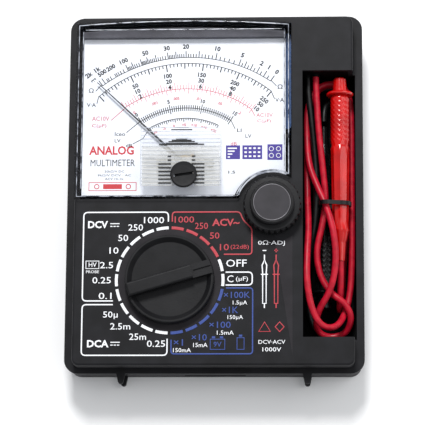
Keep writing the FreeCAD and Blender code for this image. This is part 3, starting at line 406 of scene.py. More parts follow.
# ---- leads ---------------------------------------------------------------------------------------
LEAD_D = 2.8 * MM
RED_ROUTE = [
    (44.0, 51.4, 19.4), (44.3, 42.0, 19.4), (45.2, 27.0, 19.6), (47.0, 10.0, 19.2),
    (48.4, -4.0, 18.2), (46.6, -15.0, 18.8), (43.8, -26.5, 18.6), (45.4, -37.0, 18.2),
    (50.2, -45.0, 18.8), (56.0, -48.8, 19.6), (59.4, -54.8, 17.3), (57.0, -61.4, 12.6),
    (49.4, -63.2, 11.4), (43.4, -60.2, 13.8), (44.4, -52.6, 19.0), (50.0, -44.6, 22.6),
    (52.6, -33.0, 23.8), (51.8, -20.0, 25.2), (48.6, -7.6, 23.6), (44.2, 2.6, 21.0),
    (40.6, 13.0, 17.8), (40.0, 28.0, 14.6), (40.3, 40.0, 14.2), (44.4, 48.4, 14.2),
    (52.0, 50.4, 14.0), (58.2, 46.8, 13.9), (59.6, 36.8, 13.9), (59.5, 14.0, 14.2),
    (59.6, -12.0, 14.2), (59.4, -32.0, 14.2), (58.6, -44.0, 13.8), (56.3, -53.4, 14.9),
    (52.4, -60.2, 20.8), (46.2, -60.4, 24.4), (42.0, -53.4, 25.8), (39.9, -42.0, 27.0),
    (40.0, -29.0, 24.8), (40.8, -15.6, 20.0), (40.2, -2.0, 14.6), (40.1, 14.0, 11.2),
    (40.0, 30.0, 11.1), (41.0, 41.6, 11.1), (46.2, 49.8, 11.0), (54.4, 50.2, 11.0),
    (59.2, 43.4, 11.0), (59.5, 28.0, 11.1), (59.6, 5.0, 11.1), (58.3, -11.0, 11.4),
    (56.4, -24.0, 8.8), (55.4, -37.0, 5.4), (54.8, -47.4, 5.4), (53.9, -51.8, 10.6),
    (54.1, -46.6, 15.8), (54.6, -39.0, 18.8), (54.5, -31.0, 20.1),
]
BLACK_ROUTE = [
    (40.6, 51.4, 17.6), (40.8, 44.0, 17.6), (42.0, 34.0, 17.6), (43.4, 20.0, 16.6),
    (44.4, 4.0, 16.2), (44.0, -10.0, 16.0), (42.2, -21.0, 15.0), (40.2, -30.0, 11.2),
    (40.0, -40.0, 8.0), (40.6, -54.0, 7.9), (45.6, -62.0, 8.0), (54.0, -62.4, 8.1),
    (59.1, -56.0, 8.1), (59.6, -42.0, 8.0), (59.5, -20.0, 8.0), (59.6, 4.0, 8.0),
    (59.5, 28.0, 8.1), (59.2, 42.6, 7.8), (54.4, 49.9, 7.0), (46.0, 50.0, 6.0),
    (40.8, 42.6, 5.2), (40.1, 28.0, 4.9), (40.2, 4.0, 4.9), (40.1, -20.0, 4.9),
    (40.0, -42.0, 4.9), (40.7, -54.6, 4.9), (46.0, -62.2, 4.9), (54.0, -62.4, 4.9),
    (59.2, -55.6, 4.9), (59.6, -42.0, 4.9), (59.5, -20.0, 4.9), (59.6, 4.0, 4.9),
    (59.5, 24.0, 4.9), (59.3, 36.6, 4.9), (55.4, 43.2, 5.0), (50.0, 43.8, 7.2),
    (47.5, 39.8, 9.8), (47.5, 33.5, 10.15),
]
ON_PROBE = ("handle", "collar", "sleeve", "needle", "relief")


def lead(colour, route, material, handle):
    """A limp lead from its gland to the back of its probe."""
    name = colour + "_lead_cable"
    curve = bpy.data.curves.new(name, "CURVE")
    curve.dimensions = "3D"
    curve.resolution_u = 8
    curve.bevel_depth = LEAD_D / 2
    curve.bevel_resolution = 4
    curve.use_fill_caps = True
    line = curve.splines.new("NURBS")
    line.points.add(len(route) - 1)
    for spot, (x, y, z) in zip(line.points, route):
        spot.co = (x * MM, y * MM, z * MM, 1)
    line.order_u = 3
    line.use_endpoint_u = True
    curve.materials.append(material)
    obj = bpy.data.objects.new(name, curve)
    bpy.context.scene.collection.objects.link(obj)
    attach(obj, "case")
    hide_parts(colour + "_lead")
    on_it = [NODES["%s_probe_%s" % (colour, part)] for part in ON_PROBE[1:]]
    on_it += [NODES[colour + "_lead_gland"], handle]
    if colour == "red":
        on_it.append(NODES["lead_tie"])


# ---- probes --------------------------------------------------------------------------------------
GRIP = 22.0                 # dotted length behind the collar, in millimetres
DOT_PITCH = 0.55            # ring spacing along the grip, half a dot
DOT_DEPTH = 0.28            # moulded dots, drawn deeper than they are so that they show
FLUTE_DEPTH = 0.45
ROUND = 48


def probe_handle(colour, material, way):
    """Dotted grip and fluted barrel, turned about the probe's axis; way is where the lead leaves."""
    name = colour + "_probe_handle"
    low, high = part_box(name)
    radius = (high.x - low.x) / 2 / MM - 0.05
    begin = (high.y if way < 0 else low.y) / MM
    length = (high.y - low.y) / MM
    axis = Vector(((low.x + high.x) / 2, 0, (low.z + high.z) / 2))
    profile = [(0, 0), (radius - 0.5, 0)]
    profile += [(radius, 1.2 + DOT_PITCH * i) for i in range(int((GRIP - 1.2) / DOT_PITCH))]
    profile += [(radius - 0.35, GRIP + 0.2), (radius - 0.35, GRIP + 0.9), (radius, GRIP + 1.6)]
    barrel_end = length - 4.0
    profile += [(radius, GRIP + 1.6 + (barrel_end - GRIP - 1.6) * i / 12) for i in range(1, 13)]
    profile += [(radius - 0.3, length - 1.5), (radius - 0.9, length), (0, length)]
    bm = bmesh.new()
    spots = [bm.verts.new((axis.x + r * MM, (begin + way * d) * MM, axis.z)) for r, d in profile]
    edges = [bm.edges.new(pair) for pair in zip(spots, spots[1:])]
    bmesh.ops.spin(
        bm, geom=spots + edges, cent=axis, axis=(0, 1, 0), angle=math.tau, steps=ROUND,
        use_merge=True,
    )
    bmesh.ops.remove_doubles(bm, verts=bm.verts, dist=1e-6)
    for v in bm.verts:
        along = abs(v.co.y / MM - begin)
        out = Vector((v.co.x - axis.x, 0, v.co.z - axis.z))
        if out.length < 1 * MM:
            continue
        angle = math.atan2(out.z, out.x)
        if 2.0 < along < GRIP - 0.6:
            column = round(angle / math.tau * ROUND) // 2
            row = round((along - 1.2) / DOT_PITCH) // 2
            v.co -= out.normalized() * (DOT_DEPTH * MM if (row + column) % 2 else 0)
        elif GRIP + 2 < along < barrel_end + 2:
            narrowing = 0.7 * (along - GRIP) / (length - GRIP)
            v.co -= out.normalized() * (FLUTE_DEPTH * abs(math.sin(4 * angle)) + narrowing) * MM
    obj = piece(bm, colour + "_probe_grip", material)
    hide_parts(name)
    return obj


# ---- front panel ---------------------------------------------------------------------------------
LABEL = (-56.6, 33.8, -74.9, -8.9)      # left, right, bottom, top of the film
LABEL_THICK = 0.15
CLEAR_OF_KNOB = 22.1
CLEAR_OF_OHM = 15.3
FILM_Z = PANEL_Z + LABEL_THICK * MM
KX, KY = KNOB.x / MM, KNOB.y / MM
OX, OY = OHM_KNOB.x / MM, OHM_KNOB.y / MM


def panel_label():
    """Printed film on the panel, cut out round the two knobs."""
    x0, x1, y0, y1 = LABEL
    bm = bmesh.new()
    corner = 1.5
    bite = [OX - math.sqrt(CLEAR_OF_OHM ** 2 - (y1 - OY) ** 2), y1]
    start_turn = math.degrees(math.atan2(bite[0] - OX, y1 - OY))
    end_turn = -180 - math.degrees(math.asin((x1 - OX) / CLEAR_OF_OHM))
    path = rounded([(x1, y1 - 20), (x1, y0), (x0, y0), (x0, y1), tuple(bite)], corner)[1:]
    path += arc(OX, OY, CLEAR_OF_OHM, start_turn, end_turn, 20)
    outer = [bm.verts.new((x * MM, y * MM, PANEL_Z)) for x, y in path]
    rim = [bm.edges.new(pair) for pair in zip(outer, outer[1:] + outer[:1])]
    hole = bmesh.ops.create_circle(
        bm, segments=72, radius=CLEAR_OF_KNOB * MM,
        matrix=Matrix.Translation((KX * MM, KY * MM, PANEL_Z)),
    )
    inner = list({e for v in hole["verts"] for e in v.link_edges})
    bmesh.ops.triangle_fill(bm, use_beauty=True, edges=rim + inner)
    bmesh.ops.recalc_face_normals(bm, faces=bm.faces)
    raised = bmesh.ops.extrude_face_region(bm, geom=bm.faces[:])
    lifted = [g for g in raised["geom"] if isinstance(g, bmesh.types.BMVert)]
    bmesh.ops.translate(bm, verts=lifted, vec=(0, 0, LABEL_THICK * MM))
    piece(bm, "panel_label", LABEL_FILM)


RANGE_STEP = 360 / 22       # degrees from one switch position to the next
DASH_R = 22.9
WHITE_LABELS = [            # text, middle x, middle y, width, height
    ("1000", -25.8, -14.1, 8.7, 2.8), ("250", -33.7, -17.3, 6.4, 2.8),
    ("50", -39.0, -21.9, 4.3, 2.8), ("10", -42.9, -27.4, 3.9, 2.8),
    ("2.5", -46.0, -33.8, 5.7, 2.8), ("0.25", -48.0, -40.4, 8.0, 2.8),
    ("0.1", -46.4, -47.2, 5.6, 2.8), ("50µ", -44.0, -55.6, 6.3, 3.3),
    ("2.5m", -39.7, -60.4, 8.6, 2.8), ("25m", -32.2, -64.9, 7.2, 2.8),
    ("0.25", -24.3, -67.9, 7.8, 2.8), ("HV", -52.0, -33.6, 3.4, 2.0),
    ("PROBE", -52.0, -36.7, 5.6, 1.2), ("OFF", 9.8, -33.1, 8.8, 3.2),
    ("C", 7.2, -39.9, 2.7, 3.0), ("(µF)", 12.2, -40.1, 5.2, 2.4),
    ("0Ω·ADJ", 24.8, -24.4, 11.5, 2.4), ("1.5µA", 11.4, -50.4, 6.2, 2.1),
    ("150µA", 9.4, -56.7, 6.6, 2.1), ("1.5mA", 5.2, -63.2, 7.2, 1.8),
    ("15mA", -5.4, -68.5, 6.1, 1.8), ("150mA", -13.2, -70.7, 7.6, 1.8),
    ("DCV·ACV", 25.0, -67.2, 11.4, 1.7), ("1000V", 25.0, -70.4, 8.0, 1.8),
]
WHITE_BOLD = [("DCV", -50.0, -16.0, 8.6, 3.2), ("DCA", -49.2, -67.9, 9.2, 3.2)]
RED_LABELS = [
    ("1000", -12.7, -13.9, 8.4, 2.8), ("250", -5.3, -16.7, 5.6, 2.8),
    ("50", 0.4, -21.0, 4.1, 2.8), ("10", 4.6, -26.1, 3.9, 2.8),
    ("(22dB)", 11.2, -26.2, 7.9, 2.3),
]
BLUE_LABELS = [
    ("×100K", 10.1, -46.9, 11.2, 2.8), ("×1K", 7.2, -53.4, 6.9, 2.8),
    ("×100", 2.9, -59.8, 9.2, 2.8), ("×10", -5.9, -65.2, 6.5, 2.8),
    ("×1", -14.8, -67.4, 4.0, 2.8),
]
FRAME_LINE = 0.55
DASH_LINE = 1.25


def dashes(bm, first, count):
    """Range marks round the knob, from one switch step to another, clockwise from the top."""
    for step in range(first, first + count):
        begin = step * RANGE_STEP + 1.6
        path = arc(KX, KY, DASH_R, begin, begin + RANGE_STEP - 3.2, 5)
        stroke(bm, path, FILM_Z, DASH_LINE)


def direct_sign(bm, x, y):
    """Sign for direct voltage or current: a line over a broken line."""
    bar(bm, x - 2.0, y + 0.5, x + 2.0, y + 0.5, FILM_Z, 0.4)
    for left in (-2.0, -0.6, 0.8):
        bar(bm, x + left, y - 0.7, x + left + 1.0, y - 0.7, FILM_Z, 0.4)


def probe_sign(bm, x, plus):
    """Small outline of a probe, tip up, with its polarity above it."""
    side = [(x - 0.5, -33.0), (x - 1.0, -34.0), (x - 0.75, -37.5), (x - 0.75, -50.6), (x + 0.75, -50.6),
            (x + 0.75, -37.5), (x + 1.0, -34.0), (x + 0.5, -33.0), (x, -31.4), (x - 0.5, -33.0)]
    stroke(bm, side, FILM_Z, 0.5)
    bar(bm, x, -29.4, x, -31.6, FILM_Z, 0.5)
    bar(bm, x, -50.6, x, -52.6, FILM_Z, 0.5)
    bar(bm, x - 1.5, -38.0, x + 1.5, -38.0, FILM_Z, 0.5)
    bar(bm, x - 0.8, -27.6, x + 0.8, -27.6, FILM_Z, 0.45)
    if plus:
        bar(bm, x, -26.8, x, -28.4, FILM_Z, 0.45)


def panel_white():
    bm = bmesh.new()
    for text, x, y, width, height in WHITE_LABELS:
        letters(bm, text, x, y, FILM_Z, width, height)
    for text, x, y, width, height in WHITE_BOLD:
        letters(bm, text, x, y, FILM_Z, width, height, bold=0.03)
    direct_sign(bm, -42.7, -16.1)
    direct_sign(bm, -41.8, -67.8)
    volts = [(-43.0, -49.4), (-56.2, -49.4), (-56.2, -10.6), (-19.6, -10.6), (-19.6, -14.8)]
    amps = [(-43.0, -51.0), (-56.2, -51.0), (-56.2, -72.9), (-19.6, -72.9), (-19.6, -65.8)]
    farads = [(5.2, -37.0), (16.6, -37.0), (16.6, -42.6), (5.2, -42.6)]
    for path in (volts, amps, farads):
        stroke(bm, rounded(path, 1.8), FILM_Z, FRAME_LINE)
    high_volts = [(-54.9, -32.0), (-54.9, -35.3), (-49.3, -35.3), (-49.3, -32.0)]
    stroke(bm, high_volts, FILM_Z, 0.4, closed=True)
    dashes(bm, 11, 11)
    dashes(bm, 4, 2)
    probe_sign(bm, 21.8, plus=False)
    piece(bm, "panel_print_white", INK_WHITE)


def panel_red():
    bm = bmesh.new()
    for text, x, y, width, height in RED_LABELS:
        letters(bm, text, x, y, FILM_Z, width, height)
    letters(bm, "ACV~", 5.2, -15.2, FILM_Z, 11.8, 3.2, bold=0.03)
    volts = [(-17.9, -14.8), (-17.9, -10.6), (11.2, -10.6), (12.6, -14.2), (16.4, -17.9),
             (16.4, -29.2), (4.4, -29.2)]
    stroke(bm, rounded(volts, 1.4), FILM_Z, FRAME_LINE)
    dashes(bm, 0, 4)
    probe_sign(bm, 26.8, plus=True)
    for path in ([(19.4, -62.7), (21.9, -58.6), (24.4, -62.7)],
                 [(26.4, -60.7), (28.3, -58.6), (30.2, -60.7), (28.3, -62.8)]):
        stroke(bm, path, FILM_Z, 0.5, closed=True)
    piece(bm, "panel_print_red", INK_PANEL_RED)


def panel_blue():
    bm = bmesh.new()
    for text, x, y, width, height in BLUE_LABELS:
        letters(bm, text, x, y, FILM_Z, width, height)
    ohms = [(5.4, -43.9), (16.8, -43.9), (16.8, -72.3), (-17.9, -72.3), (-17.9, -66.2)]
    stroke(bm, rounded(ohms, 1.4), FILM_Z, FRAME_LINE)
    dashes(bm, 6, 5)
    block = [(-1.2, -70.4), (5.0, -70.4), (5.0, -66.0), (-1.2, -66.0)]
    cell = [(10.2, -70.4), (13.2, -70.4), (13.2, -65.4), (10.2, -65.4)]
    for path in (block, cell):
        stroke(bm, path, FILM_Z, 0.4, closed=True)
    for x, y in ((0.2, -65.2), (3.6, -65.2), (11.7, -64.5)):
        bar(bm, x - 0.7, y, x + 0.7, y, FILM_Z, 0.9)
    letters(bm, "9V", 1.9, -68.2, FILM_Z, 3.4, 2.2)
    piece(bm, "panel_print_blue", INK_BLUE)


# ---- dial ----------------------------------------------------------------------------------------
DIAL_Z = DIAL_HIGH.z
OHM_ARC = (-11.5, -3.2, 63.4, -36.9, 34.3)      # centre x, y, radius, first and last degrees
VOLT_ARC = (-12.1, -1.1, 58.6, -41.5, 38.8)
RED_ARC = (-12.6, -1.8, 47.7, -34.5, 36.8)
LOW_ARC = (-12.6, 1.2, 36.0, -33.5, 32.6)
DECIBEL_ARC = (-12.6, 0.6, 32.0, -30.0, 26.0)
THIN = 0.34
RIB_PITCH = 1.7             # ribs under the window, coarser than moulded ones so that they show
RIB_FIRST = 1.4
RIBS = 16


def tick(bm, scale, fraction, inner, outer, width=0.4):
    """A tick across an arc at a fraction of its sweep, from inner to outer beyond its radius."""
    x, y, radius, first, last = scale
    turn = math.radians(first + (last - first) * fraction)
    side, up = math.sin(turn), math.cos(turn)
    bar(
        bm, x + (radius + inner) * side, y + (radius + inner) * up,
        x + (radius + outer) * side, y + (radius + outer) * up, DIAL_Z, width,
    )


def number(bm, scale, fraction, text, beyond, height):
    """A figure beside an arc, turned to face its middle."""
    x, y, radius, first, last = scale
    degrees = first + (last - first) * fraction
    turn = math.radians(degrees)
    reach = radius + beyond
    spot = (x + reach * math.sin(turn), y + reach * math.cos(turn))
    letters(bm, text, *spot, DIAL_Z, None, height, turn=-degrees, bold=0.04)


def ohm_fraction(ohms):
    """Where a resistance lies on its scale; the middle of the scale reads 20."""
    return 1 - ohms / (ohms + 20)


def ohm_scale(bm):
    stroke(bm, arc(*OHM_ARC, 60), DIAL_Z, THIN)
    runs = ((0, 5, 0.5, 1), (5, 10, 1, 5), (10, 30, 1, 5), (30, 60, 2, 10), (60, 100, 5, 20),
            (100, 200, 20, 100), (200, 500, 100, 500), (500, 1500, 500, 1000))
    for low, high, step, long_step in runs:
        for i in range(round((high - low) / step)):
            ohms = low + step * i
            tall = abs(ohms / long_step - round(ohms / long_step)) < 1e-6
            tick(bm, OHM_ARC, ohm_fraction(ohms), 0, 3.0 if tall else 1.7)
    tick(bm, OHM_ARC, 0, 0, 3.0)
    for ohms in (0, 1, 2, 5, 10, 20, 30, 50, 100, 200, 500):
        text = str(ohms)
        number(bm, OHM_ARC, ohm_fraction(ohms), text, 5.0, 2.2)
    number(bm, OHM_ARC, 0.028, "1k", 7.6, 2.2)
    number(bm, OHM_ARC, -0.022, "2k", 7.8, 2.2)
    number(bm, OHM_ARC, -0.02, "∞", 4.4, 1.3)


def volt_scale(bm):
    stroke(bm, arc(*VOLT_ARC, 60), DIAL_Z, THIN)
    for i in range(51):
        reach = -3.2 if i % 10 == 0 else -2.4 if i % 5 == 0 else -1.5
        tick(bm, VOLT_ARC, i / 50, reach, 0, 0.5 if i % 5 == 0 else 0.42)
    for i in range(1, 6):
        for text, beyond in ((str(50 * i), -5.0), (str(10 * i), -7.6), (str(2 * i), -10.2)):
            number(bm, VOLT_ARC, i / 5, text, beyond, 2.1)


def low_scale(bm):
    stroke(bm, arc(*LOW_ARC, 40), DIAL_Z, THIN)
    for i in range(46):
        tall = i % 15 == 0
        tick(bm, LOW_ARC, i / 45, -2.2 if tall else -1.4, 2.2 if tall else 1.4)
    for i, text in enumerate(("0", "5", "10", "15")):
        number(bm, LOW_ARC, i / 3, text, 3.6, 1.8)
    stroke(bm, arc(*DECIBEL_ARC, 30), DIAL_Z, THIN)
    for i in range(33):
        tick(bm, DECIBEL_ARC, i / 32, -1.6 if i % 4 == 0 else -1.0, 0)


def dial_black():
    bm = bmesh.new()
    ohm_scale(bm)
    volt_scale(bm)
    low_scale(bm)
    captions = [
        ("Ω", -54.6, 45.4, 2.2, 2.0), ("Ω", 28.4, 46.6, 2.2, 2.0), ("V·A", -54.4, 38.8, 4.0, 1.8),
        ("V·A", 28.2, 40.6, 3.8, 1.8), ("Iceo", -41.6, 25.6, 4.6, 1.8), ("LI", 10.6, 27.0, 2.0, 1.6),
        ("LV", -42.6, 22.6, 2.6, 1.6), ("LV", 14.6, 24.4, 2.6, 1.6), ("dB", -37.6, 20.4, 2.8, 1.5),
    ]
    for text, x, y, width, height in captions:
        letters(bm, text, x, y, DIAL_Z, width, height, bold=0.01)
    leaders = [
        [(-52.6, 45.0), (-51.0, 47.0), (-49.9, 47.6)], [(26.8, 47.0), (24.5, 49.4)],
        [(-52.0, 39.4), (-51.2, 42.8)], [(26.0, 41.0), (24.6, 44.4)],
        [(-38.8, 26.2), (-32.6, 31.4)], [(8.8, 27.6), (6.9, 31.6)],
        [(-36.0, 21.0), (-31.5, 23.5), (-28.6, 28.2)],
    ]
    for path in leaders:
        stroke(bm, path, DIAL_Z, THIN)
    letters(bm, "MULTIMETER", -44.6, 12.6, DIAL_Z, 19.4, 3.0, bold=0.0)
    for row, width in enumerate((8.6, 14.6, 8.0)):
        text = ("20kΩ/V DC", "9kΩ/V DCV · AC", "ACV 10–1k")[row]
        letters(bm, text, -43.8, 8.8 - 1.7 * row, DIAL_Z, width, 1.0, bold=0.0)
    letters(bm, "1.5", 7.4, 8.2, DIAL_Z, 3.0, 1.3, bold=0.02)
    piece(bm, "dial_print_black", INK_BLACK)


HUMP = (-14.2, 19.4)        # middle of the flat side of the black movement mark
SLOT_ROWS = 8
MARKS_UNDER = 2.05          # painted marks below the window's face, behind the ribs


def movement_marks():
    """Black hump, and the dark slots beside the corrector, painted on the backs of the ribs."""
    bm = bmesh.new()
    x, y = HUMP
    level_z = WINDOW_HIGH.z - MARKS_UNDER * MM
    for width, up in ((19.6, 0.0), (14.0, 0.6), (11.4, 1.2), (8.6, 1.8), (5.0, 2.4)):
        bar(bm, x - width / 2, y + up, x + width / 2, y + up, level_z, 0.62)
    bar(bm, x - 4.6, y + 6.6, x + 4.6, y + 6.6, level_z, 0.5)
    bar(bm, x - 3.0, y + 7.6, x + 3.0, y + 7.6, level_z, 0.35)
    for row in range(SLOT_ROWS):
        level = 2.25 + RIB_PITCH * row
        reach = 10.0 if row < 6 else 6.0
        for side in (-1, 1):
            bar(bm, x + side * 4.5, level, x + side * reach, level, level_z, 0.6)
    piece(bm, "movement_marks", INK_BLACK)


def dial_red():
    bm = bmesh.new()
    stroke(bm, arc(*RED_ARC, 50), DIAL_Z, THIN)
    for i in range(51):
        tall = i % 5 == 0
        tick(bm, RED_ARC, i / 50, 0, 3.0 if tall else 1.9, 0.28)
    for i in range(0, 31):
        tick(bm, RED_ARC, i / 30, -2.2 if i % 5 == 0 else -1.3, 0, 0.28)
    for i, text in enumerate(("0", ".001", ".005", ".01", ".05", ".2")):
        number(bm, RED_ARC, 0.04 + 0.18 * i, text, -4.2, 1.4)
    for i, text in enumerate(("-10", "-5", "0", "+5", "+10", "+16", "+22")):
        number(bm, DECIBEL_ARC, (i + 0.2) / 6.4, text, -3.0, 1.3)
    captions = [
        ("AC10V", -50.2, 32.6, 7.6, 2.0), ("C(µF)", -50.8, 29.2, 6.4, 2.0),
        ("AC10V", 21.6, 33.8, 7.2, 1.8), ("C(µF)", 21.4, 31.0, 6.0, 1.8), ("dB", 8.2, 21.0, 2.8, 1.6),
    ]
    for text, x, y, width, height in captions:
        letters(bm, text, x, y, DIAL_Z, width, height, bold=0.01)
    for path in ([(-45.6, 31.8), (-39.8, 37.0)], [(17.4, 33.4), (16.0, 36.2)]):
        stroke(bm, path, DIAL_Z, THIN)
    piece(bm, "dial_print_red", INK_FINE_RED)


def dial_marks():
    """Plain red word, and the red outline with a fuse and a diode sign."""
    bm = bmesh.new()
    letters(bm, "ANALOG", -45.2, 18.2, DIAL_Z, 19.6, 4.0, bold=0.03)
    box = [(-54.8, 0.2), (-34.2, 0.2), (-34.2, 3.8), (-54.8, 3.8)]
    stroke(bm, box, DIAL_Z, 0.45, closed=True)
    for x in (-51.4, -37.6):
        stroke(bm, arc(x, 2.0, 1.0, 0, 345, 14), DIAL_Z, 0.4, closed=True)
    bar(bm, -48.6, 2.0, -40.4, 2.0, DIAL_Z, 2.2)
    piece(bm, "dial_marks_red", INK_RED)


def dial_blocks():
    """Two purple blocks: one of dots in rows, and one of four rings."""
    bm = bmesh.new()
    for x0, x1, y0, y1 in ((4.8, 11.0, 14.0, 20.2), (12.0, 20.6, 14.0, 20.2), (22.9, 29.4, 13.6, 20.6)):
        bar(bm, x0, (y0 + y1) / 2, x1, (y0 + y1) / 2, DIAL_Z, y1 - y0)
    piece(bm, "dial_blocks_purple", INK_PURPLE)
    bm = bmesh.new()
    on_block = DIAL_Z + 0.02 * MM
    for row in range(3):
        for column in range(4):
            x, y = 13.4 + 1.95 * column, 15.3 + 1.8 * row
            bar(bm, x - 0.55, y, x + 0.55, y, on_block, 0.75)
    for row in range(4):
        bar(bm, 5.6, 15.0 + 1.3 * row, 6.6 + 1.0 * row, 15.0 + 1.3 * row, on_block, 0.6)
    for x, y in ((24.6, 18.6), (27.7, 18.6), (24.6, 15.6), (27.7, 15.6)):
        stroke(bm, arc(x, y, 0.95, 0, 345, 12), on_block, 0.4, closed=True)
    piece(bm, "dial_blocks_white", INK_WHITE)


# ---- window --------------------------------------------------------------------------------------
BAND_BOTTOM = 68.6
WINDOW_BITE = 15.1          # radius of the window's bite round the zero-ohm knob
GLASS_Z = WINDOW_HIGH.z
FROST_TOP = 19.0            # top of the frosted part, below the scales
BAND_THICK = 3.0
BAND_BELOW_TOP = 2.0        # the dial card's top edge stands this far above the band's corners
CROWN = 1.8                 # rise of the window's top edge from its corners to its middle
CROWN_STEPS = 16
GLINT_IN = 1.2               # outer painted highlight line, in from the window's sides and top
GLINT_FOOT = 0.6             # and up from its bottom edge and its bite


def crown(x0, x1, y):
    """Points along a shallow arch from x0 to x1, y at its two ends, in millimetres."""
    steps = range(CROWN_STEPS + 1)
    rise = [CROWN * (1 - (2 * i / CROWN_STEPS - 1) ** 2) for i in steps]
    return [(x0 + (x1 - x0) * i / CROWN_STEPS, y + up) for i, up in zip(steps, rise)]


def window_band():
    """Dark grey strip above the dial card, under the window's top edge."""
    bm = bmesh.new()
    x0, x1 = DIAL_LOW.x / MM, DIAL_HIGH.x / MM
    arch = crown(x0, x1, DIAL_HIGH.y / MM - BAND_BELOW_TOP)
    path = [(x0, BAND_BOTTOM), (x1, BAND_BOTTOM)] + arch[::-1]
    spots = [bm.verts.new((x * MM, y * MM, DIAL_Z)) for x, y in path]
    face = bm.faces.new(spots)
    raised = bmesh.ops.extrude_face_region(bm, geom=[face])
    lifted = [g for g in raised["geom"] if isinstance(g, bmesh.types.BMVert)]
    bmesh.ops.translate(bm, verts=lifted, vec=(0, 0, BAND_THICK * MM))
    piece(bm, "window_band", BAND_FILM)


def window_ribs():
    """Fine moulded ribs on the underside of the window, over the movement."""
    bm = bmesh.new()
    under = WINDOW_HIGH.z - 1.5 * MM - 0.2 * MM
    cx, cy = CORRECTOR.x / MM, CORRECTOR.y / MM
    for i in range(RIBS):
        y = RIB_FIRST + RIB_PITCH * i
        away = 5.0 ** 2 - (y - cy) ** 2
        runs = [(-31.6, 2.6)]
        if away > 0:
            half = math.sqrt(away)
            runs = [(-31.6, cx - half), (cx + half, 2.6)]
        for x0, x1 in runs:
            bar(bm, x0, y, x1, y, under, 0.38)
    for x in (-31.9, 2.9):
        bar(bm, x, 1.0, x, 28.4, under, 0.3)
    for v in bm.verts:
        v.co.z = under + (0.15 * MM if v.co.z > under else -0.15 * MM)
    piece(bm, "window_ribs", RIB_CLEAR)
    bm = bmesh.new()
    clear = 4.4
    for x0, x1, y0, y1 in ((-31.4, cx - clear, 1.0, FROST_TOP), (cx + clear, 2.4, 1.0, FROST_TOP),
                           (cx - clear, cx + clear, cy + clear, FROST_TOP)):
        bar(bm, x0, (y0 + y1) / 2, x1, (y0 + y1) / 2, under - 0.7 * MM, y1 - y0)
    piece(bm, "window_frost", FROST_CLEAR)


def window_beads():
    """Painted highlights along the window's moulded edges: light and dark lines on the glass's top face
    standing in for the light the clear wall gathers.
    """
    bm = bmesh.new()
    x0, x1 = WINDOW_LOW.x / MM, WINDOW_HIGH.x / MM
    y0, y1 = WINDOW_LOW.y / MM, WINDOW_HIGH.y / MM - CROWN
    left, right, foot = x0 + GLINT_IN, x1 - GLINT_IN, y0 + GLINT_FOOT
    bite = WINDOW_BITE + GLINT_FOOT
    top = crown(left, right, y1 - GLINT_IN)
    reach = math.sqrt(bite ** 2 - (foot - OY) ** 2)
    rise = math.sqrt(bite ** 2 - (right - OX) ** 2)
    stroke(bm, [(OX - reach, foot), (left, foot)] + top + [(right, OY + rise)], GLASS_Z, 0.42)
    first = -math.degrees(math.acos((foot - OY) / bite))
    last = math.degrees(math.asin((right - OX) / bite))
    stroke(bm, arc(OX, OY, bite, first, last, 24), GLASS_Z, 0.5)
    stroke(bm, [(x0 + 3.0, y0 + 4.0), (x0 + 3.0, y1 - 4.0)], GLASS_Z, 0.35)
    stroke(bm, [(x1 - 3.0, OY + rise + 2.0), (x1 - 3.0, y1 - 3.0)], GLASS_Z, 0.35)
    stroke(bm, [(x0 + 4.0, y1 - 3.2), (x1 - 4.0, y1 - 3.2)], GLASS_Z, 0.3)
    piece(bm, "window_beads", BEAD_PAINTED_GLINT)
    # Painted highlight: a bright band on the window's wall round its bite, standing in for the light
    # that wall catches.
    bm = bmesh.new()
    wall = arc(OX, OY, WINDOW_BITE + 0.95, first + 4, last - 4, 24)
    stroke(bm, wall, WINDOW_HIGH.z - 3.0 * MM, 1.3)
    piece(bm, "window_bite_painted_highlight", BITE_PAINTED_GLINT)


# ---- zero-ohm knob's disc ------------------------------------------------------------------------
OHM_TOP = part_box("zero_ohm_knob")[1].z


def ohm_disc():
    """Lighter disc in the recess of the knob's top, just clear of its floor, and a lighter grey ring at
    its edge.
    """
    bm = bmesh.new()
    bmesh.ops.create_cone(
        bm, cap_ends=True, segments=72, radius1=7.9 * MM, radius2=7.7 * MM, depth=0.2 * MM,
        matrix=Matrix.Translation((OHM_KNOB.x, OHM_KNOB.y, OHM_TOP - 0.3 * MM)),
    )
    piece(bm, "zero_ohm_disc", DISC_ABS, "zero_ohm")
    bm = bmesh.new()
    stroke(bm, arc(OX, OY, 7.85, 0, 355, 60), OHM_TOP - 0.15 * MM, 0.3, closed=True)
    piece(bm, "zero_ohm_disc_rim", LIGHT_GREY_RIM, "zero_ohm")


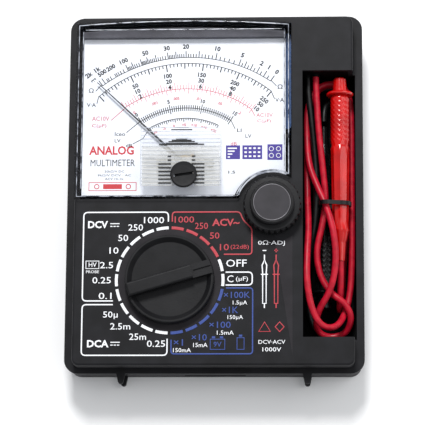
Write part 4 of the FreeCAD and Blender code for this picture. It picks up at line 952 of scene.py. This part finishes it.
# ---- surroundings --------------------------------------------------------------------------------
def floor():
    material, tree, shader, place = start("matte_white_sweep")
    two_tone(tree, shader, grain(tree, place, 300.0, 2.0), "fbfbfb", "f7f7f8")
    shader.inputs["Roughness"].default_value = 0.9
    bm = bmesh.new()
    bmesh.ops.create_grid(bm, x_segments=2, y_segments=2, size=3.0)
    mesh = bpy.data.meshes.new("floor")
    bm.to_mesh(mesh)
    bm.free()
    mesh.materials.append(material)
    obj = bpy.data.objects.new("floor", mesh)
    bpy.context.scene.collection.objects.link(obj)
    obj.location.z = -0.0002


def soft_light(name, place, aim, size, power):
    lamp = bpy.data.lights.new(name, "AREA")
    lamp.shape = "DISK"
    lamp.size = size
    lamp.energy = power
    obj = bpy.data.objects.new(name, lamp)
    bpy.context.scene.collection.objects.link(obj)
    obj.location = place
    obj.rotation_euler = (Vector(aim) - Vector(place)).to_track_quat("-Z", "Y").to_euler()


def studio():
    soft_light("key", (-0.08, 0.85, 1.15), (0, 0, 0), 0.4, 18.0)
    soft_light("fill", (0.8, 0.1, 0.9), (0, 0, 0), 0.9, 4.0)
    world = bpy.data.worlds.new("studio")
    world.use_nodes = True
    world.node_tree.nodes["Background"].inputs["Color"].default_value = (0.95, 0.97, 1.0, 1)
    world.node_tree.nodes["Background"].inputs["Strength"].default_value = 0.55
    bpy.context.scene.world = world
    bpy.context.scene.view_settings.view_transform = "Standard"


def camera():
    lens = bpy.data.cameras.new("camera")
    lens.lens = 186.4
    lens.sensor_width = 36.0
    obj = bpy.data.objects.new("camera", lens)
    bpy.context.scene.collection.objects.link(obj)
    obj.location = Vector((45.8, -214.2, 951.6)) * MM
    turn = [math.radians(a) for a in (12.41, 2.79, 0.38)]
    obj.rotation_euler = Euler(turn, "XYZ")
    bpy.context.scene.camera = obj


finish_nodes()
red_handle = probe_handle("red", RED_PP, -1)
black_handle = probe_handle("black", BLACK_PP, 1)
lead("red", RED_ROUTE, RED_PVC, red_handle)
lead("black", BLACK_ROUTE, BLACK_PVC, black_handle)
panel_label()
panel_white()
panel_red()
panel_blue()
dial_black()
dial_red()
dial_marks()
dial_blocks()
window_band()
window_ribs()
window_beads()
movement_marks()
ohm_disc()
floor()
studio()
camera()
